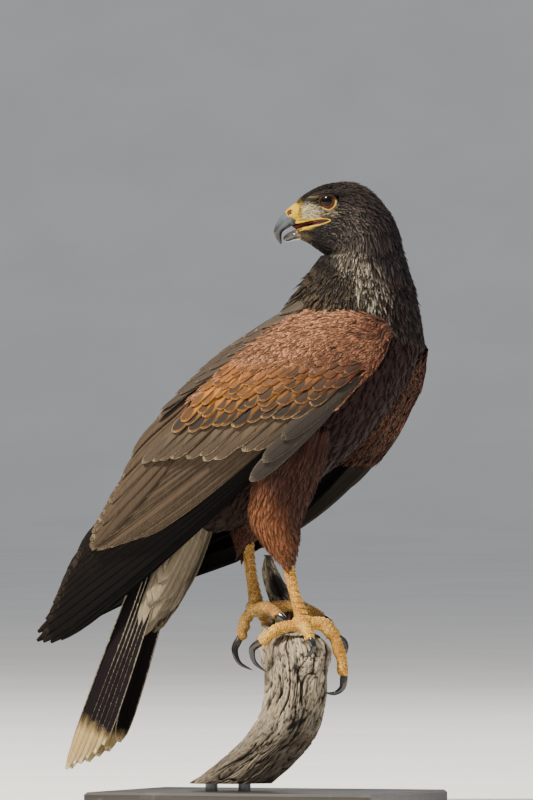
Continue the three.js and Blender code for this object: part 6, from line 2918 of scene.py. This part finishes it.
@dataclass
class Perch:
    """The weathered branch end, cracked along its grain."""

    finish: Material
    sides: int = 200
    crack: float = 3.6

    def form(
        self, stations: Sequence[WoodRing], sides: int, steps: int, wander: float
    ) -> tuple[Shell, Array, Array]:
        """Make one cracked form.

        Args:
            stations: Its rings.
            sides: Points in a ring.
            steps: Rings for each step between stations.
            wander: Where the cracks' pattern starts.

        Returns:
            The shell, its points' places on the grain's map and how deep in a crack each lies.
        """
        rings = refine(np.stack([s.ring(n, sides) for n, s in enumerate(stations)]), steps)
        count = len(rings)
        middle = rings.mean(1, keepdims=True)
        along = np.r_[0, np.cumsum(np.linalg.norm(np.diff(middle[:, 0], axis=0), axis=1))]
        angle = circle(sides)
        cos, sin = np.cos(angle), np.sin(angle)
        deep, swell = np.zeros((count, sides)), np.zeros((count, sides))
        for i in range(count):
            s = along[i]
            for j in range(sides):
                x, y = cos[j], sin[j]
                twist = 0.8 * noise.noise(Vector((x * 1.3, y * 1.3, s * 0.03 + wander)))
                coarse = abs(noise.noise(Vector((x * 4.2 + twist, y * 4.2 - twist, s * 0.022 + wander))))
                fine = abs(noise.noise(Vector((x * 12 + 3 * twist, y * 12, s * 0.07 + wander + 7))))
                deep[i, j] = max(1 - coarse / 0.11, 0.75 * (1 - fine / 0.19), 0)
                swell[i, j] = noise.noise(Vector((x * 2.1, y * 2.1, s * 0.05 + wander + 3)))
        out = rings - middle
        out[..., 2] = 0
        fade = np.minimum(np.linalg.norm(out, axis=-1) / 16, 1)
        if wander:
            # The splinter's hollow is sunk and counted as deep, which the wood's finish paints dark: painted
            # shade in the hollow.
            flat = rings - seen(-9.0, 26.0, 174.0)
            hollow = np.exp(
                -((flat[..., 2] / 9.5) ** 2) - (np.linalg.norm(flat[..., :2], axis=-1) / 9.0) ** 2
            )
            deep = np.maximum(deep, np.minimum(1.6 * hollow, 1))
            fade = np.ones_like(fade)
            swell = swell + 0.8 * np.sin(angle * 7)[None]
        shift = (1.5 * swell - self.crack * deep**1.3) * fade
        rings = rings + unit(out) * shift[..., None]
        shell = loft(rings)
        grain = np.stack(np.broadcast_arrays(angle[None] / (2 * math.pi), along[:, None] / 100), -1)
        grain = np.stack([1 - np.abs(1 - 2 * grain[..., 0]), grain[..., 1]], -1).reshape(-1, 2)
        grain = np.concatenate([grain, [[0.5, 0.0], [0.5, along[-1] / 100]]])
        return shell, grain, np.r_[deep.ravel() * fade.ravel(), 0.2, 0.35]

    def build(self) -> Piece:
        """Make the branch and its torn splinter.

        Returns:
            The piece.
        """
        forms = [self.form(BRANCH, self.sides, 16, 0.0), self.form(SPLINTER, 90, 14, 20.0)]
        piece = join_shells([f[0] for f in forms]).build("branch", self.finish)
        set_map(piece, VANE_MAP, np.concatenate([f[1] for f in forms]))
        set_number(piece, "deep", np.concatenate([f[2] for f in forms]))
        return mount(piece, "weathered_wood", "perch")


@dataclass
class Stand:
    """The plain display stand, which keeps its solids."""

    base: StandFinish = StandFinish("stand_paint", (44, 42, 41), (58, 55, 52), 0.42)
    rod: StandFinish = StandFinish("stand_steel", (96, 98, 100), (120, 122, 124), 0.3, 1.0)

    def dress(self) -> None:
        """Give the stand's solids their finishes."""
        for name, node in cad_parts.items():
            if not name.startswith("stand_"):
                continue
            finish = (self.rod if "rod" in name else self.base).make()
            for slot in node.material_slots:
                slot.material = finish
            LOG.info("%s: finished", name)


# Studio


@dataclass(frozen=True)
class Studio:
    """The floor and its rise, the lights and the camera."""

    distance: float = 12.0
    azimuth: float = math.radians(-70)
    target_right: float = 0.0002
    target_height: float = 0.3207
    lens: float = 683.5
    floor_radius: float = 20.0
    wall_radius: float = 26.0
    wall_height: float = 10.0

    def directions(self) -> tuple[Vector, Vector]:
        """Give the directions from the bird to the camera and to the picture's right."""
        back = Vector((math.sin(self.azimuth), -math.cos(self.azimuth), 0.0))
        return back, Vector((-back.y, back.x, 0.0))

    def floor(self) -> Piece:
        """Make the floor, which rises into a wall far round the bird.

        Returns:
            The piece.
        """
        angle = circle(96)
        bend = np.linspace(0, math.pi / 2, 14)
        radii = np.r_[
            0.4, 2, 8, self.floor_radius,
            self.floor_radius + (self.wall_radius - self.floor_radius) * np.sin(bend[1:])
        ]
        heights = np.r_[0, 0, 0, 0, self.wall_height * (1 - np.cos(bend[1:]))]
        rings = np.stack([
            radii[:, None] * np.cos(angle), radii[:, None] * np.sin(angle), heights[:, None] + 0 * angle
        ], -1) / MM
        shell = loft(rings)
        kept = (shell.triangles != len(shell.points) - 1).all(1)
        shell.triangles = shell.triangles[kept]
        shell.points = shell.points[:-1]
        piece = shell.build("floor", StudioFinish().make())
        return piece

    def lamp(
        self, name: str, right: float, up: float, near: float, size: float, power: float, tone: Colour
    ) -> None:
        """Hang a soft lamp.

        Args:
            name: Its name.
            right: How far to the picture's right, in metres.
            up: How high.
            near: How far toward the camera.
            size: Its width.
            power: Its power, in watts.
            tone: Its colour.
        """
        back, across = self.directions()
        data = bpy.data.lights.new(name, "AREA")
        data.size, data.energy, data.color = size, power, linear(tone)
        lamp = bpy.data.objects.new(name, data)
        lamp.location = across * right + back * near + Vector((0, 0, up))
        aim = Vector((0, 0, self.target_height)) - lamp.location
        lamp.rotation_euler = aim.to_track_quat("-Z", "Y").to_euler()
        bpy.context.scene.collection.objects.link(lamp)

    def camera(self) -> None:
        """Set the camera where the photographer stood."""
        back, across = self.directions()
        data = bpy.data.cameras.new("camera")
        data.lens, data.sensor_width, data.clip_end = self.lens, 36.0, 200.0
        camera = bpy.data.objects.new("camera", data)
        target = across * self.target_right + Vector((0, 0, self.target_height))
        camera.location = target + back * self.distance
        camera.rotation_euler = (-back).to_track_quat("-Z", "Y").to_euler()
        bpy.context.scene.collection.objects.link(camera)
        bpy.context.scene.camera = camera

    def build(self) -> None:
        """Set the floor, the lights and the camera."""
        self.floor()
        world = bpy.data.worlds.new("studio")
        world.use_nodes = True
        world.node_tree.nodes["Background"].inputs[0].default_value = rgba((236, 240, 246))
        world.node_tree.nodes["Background"].inputs[1].default_value = 0.4
        bpy.context.scene.world = world
        self.lamp("key", -2.6, 4.4, 1.9, 0.8, 740, (255, 243, 224))
        self.lamp("fill", 3.4, 1.6, 2.6, 3.0, 16, (226, 236, 255))
        self.lamp("rim", 1.4, 3.0, -3.0, 2.0, 60, (255, 255, 255))
        self.camera()


# Coat of the trunk, head and thighs


@dataclass
class BodyCoat:
    """The small feathers of the trunk, neck, head and thighs."""

    skin: Skin
    small: Material
    fine: Material
    loose: Material

    def head(self) -> Piece:
        """Make the head's feathers, tiny on the face and longer on the nape.

        Returns:
            The piece.
        """
        surface = Surface(self.skin.head_and_neck(0.8))

        def size(points: Array) -> Array:
            """Shorten the feathers toward the bill."""
            x = HEAD.local(points)[:, 0]
            return mix(1.0, 0.36, smooth(-18, 22, x))

        def keep(points: Array) -> Array:
            """Leave the eyes and mouth bare.

            Args:
                points: Places in the scene's frame, in millimetres.

            Returns:
                Whether each place is clear.
            """
            x, _, z = HEAD.local(points).T
            clear = np.ones(len(points), bool)
            for side in Side:
                look, _, _ = EYES.axes(side)
                off = points - EYES.centre(side)
                forward = dot(off, look)
                clear &= (np.linalg.norm(off - look * forward, axis=1) > 8.0) | (forward[:, 0] < 0)
            top, bottom = mouth_edges(x)
            clear &= ~((x > -2) & (z < top + 1.8) & (z > bottom - 1.8 - 1.6 * smooth(6, 14, x)))
            return clear

        def on_shelf(points: Array) -> Array:
            """Keep the feathers of the brow that are clear of the lid."""
            return HEAD.local(points)[:, 2] > 4.6

        def on_face(points: Array) -> Array:
            """Keep the feathers of the face and crown."""
            x, _, z = HEAD.local(points).T
            return keep(points) & (x - 0.35 * z > -16)

        def on_neck(points: Array) -> Array:
            """Keep the feathers of nape, cheek and neck."""
            x, _, z = HEAD.local(points).T
            return keep(points) & (x - 0.35 * z < -6)

        def longer(points: Array) -> Array:
            """Lengthen the feathers down the neck."""
            return mix(1.0, 1.7, smooth(470, 430, points[:, 2]))

        face = Plumage(1.7, 6.6, 0.85, 1.0, LOCK, 5, 3, 0.15, 0.3, 0.3, 0.4, 51, 0.14)
        neck = Plumage(2.3, 11.5, 1.2, 1.7, LOCK, 6, 3, 0.2, 0.6, 0.3, 0.42, 52, 0.18)
        shelf = Plumage(1.3, 4.6, 0.7, 0.5, LOCK, 5, 3, 0.1, 0.1, 0.3, 0.2, 53, 0.1)
        batches = [face.grow(surface, HEAD_COAT, self.skin.spots, on_face, size)]
        for side in Side:
            batches.append(
                shelf.grow(Surface(self.skin.brow(side, 0.35)), HEAD_COAT, self.skin.spots, on_shelf)
            )
        neck_coat = coat_piece(
            "neck_feathers", [neck.grow(surface, HEAD_COAT, self.skin.spots, on_neck, longer)], self.fine
        )
        mount(neck_coat, "plumage_body", "head", "neck")
        return mount(coat_piece("head_feathers", batches, self.fine), "plumage_body", "head", "neck")

    def trunk(self) -> Piece:
        """Make the feathers of back, breast and belly.

        Returns:
            The piece.
        """
        surface = Surface(self.skin.trunk(0.4))
        plumage = Plumage(5.5, 25, 4.9, 3.2, POINTED, 6, 3, 0.13, 0.15, 0.1, 0.14, 61, 0.05)
        fluff = Plumage(4.0, 17, 2.0, 3.0, LOCK, 6, 3, 0.16, 0.9, 0.3, 0.14, 62, 0.15)

        def pale(points: Array) -> Array:
            """Keep the loose feathers on the side of the neck."""
            away = points - bird(60.0, 0.0, 402.0)
            return (np.abs(away[:, 1]) < 40) & (np.abs(away[:, 2]) < 34)

        batches = [
            plumage.grow(surface, BODY_COAT, self.skin.spots),
            fluff.grow(surface, BODY_COAT, self.skin.spots, pale),
        ]
        return mount(coat_piece("body_feathers", batches, self.small), "plumage_body", "torso", "neck")

    def thigh(self, plan: LegPlan) -> Piece:
        """Make a thigh's long loose feathers.

        Args:
            plan: Which leg.

        Returns:
            The piece.
        """
        surface = Surface(plan.thigh_rings(48, 0.6))
        plumage = Plumage(3.0, 25, 2.5, 2.8, LOCK, 7, 3, 0.13, 0.5, 0.18, 0.12, 71 + plan.side.value, 0.1)
        batches = [plumage.grow(surface, THIGH_COAT, self.skin.spots)]
        return mount(
            coat_piece(f"thigh_feathers_{plan.side.word}", batches, self.loose), "plumage_thigh",
            f"thigh_{plan.side.word}"
        )

    def build(self) -> list[Piece]:
        """Make all the pieces."""
        return [self.head(), self.trunk(), *(self.thigh(plan) for plan in LEGS)]


def main() -> None:
    """Build every piece in order, and set the stage."""
    logging.basicConfig(level=logging.INFO, format="%(message)s")
    small = FeatherFinish("plumage_small", 0.72, 0.88, 0.5, 0.8, 0.3, 0.7, 0.0, shine=0.1).make()
    fine = FeatherFinish(
        "plumage_fine", 0.7, 0.6, 0.9, 0.8, 0.3, tone=0.66, shine=0.14, edge_from=0.3
    ).make()
    fluff = FeatherFinish("plumage_fluff", 0.75, 0.68, 0.7, 0.85, 0.35, tone=0.8, shine=0.12).make()
    coverts = FeatherFinish("plumage_coverts", 0.87, 0.95, 1.0, 0.5, 0.3, core=True).make()
    flight = FeatherFinish("plumage_flight", 0.88, 0.975, 0.7, 0.3, 0.34, 0.68, 0.0, shine=0.1).make()
    tail = FeatherFinish(
        "plumage_tail", 0.82, 0.99, 0.9, 0.4, 0.3, 0.75, 0.0, tone=0.9, shine=0.06, edge_from=-0.4
    ).make()
    soft = FeatherFinish(
        "plumage_soft", 0.6, 0.8, 0.6, 0.9, 0.25, tone=0.74, shine=0.1, edge_from=0.1
    ).make()
    thigh = FeatherFinish("plumage_thigh", 0.7, 0.7, 0.5, 0.9, 0.4, shine=0.1).make()
    wax = WaxFinish("cere_skin", 1500.0, 0.0003).make()
    # The last two numbers give the painted shade in the gaps between scales: its colour and its share.
    scales = WaxFinish("leg_skin", 560.0, 0.0008, 0.5, (110, 70, 30), 0.85).make()
    horn = HornFinish("bill_horn").make()
    claws = HornFinish("claw_horn", 0.16, 0.6).make()
    skin = Skin()
    arms = [wing.arm(2.0) for wing in WINGS]
    skin.build(SkinFinish().make(), [*arms, TAIL.stub()])
    Face(skin, wax, horn, EyeFinish().make()).build()
    BodyCoat(skin, small, fine, thigh).build()
    for wing in WINGS:
        WingCoat(wing, coverts, flight, fluff).build(skin.spots)
    TAIL.build(tail, soft, skin.spots)
    for plan in LEGS:
        Leg(plan, scales, claws).build()
    Perch(WoodFinish().make()).build()
    Stand().dress()
    Studio().build()


if __name__ == "__main__":
    main()
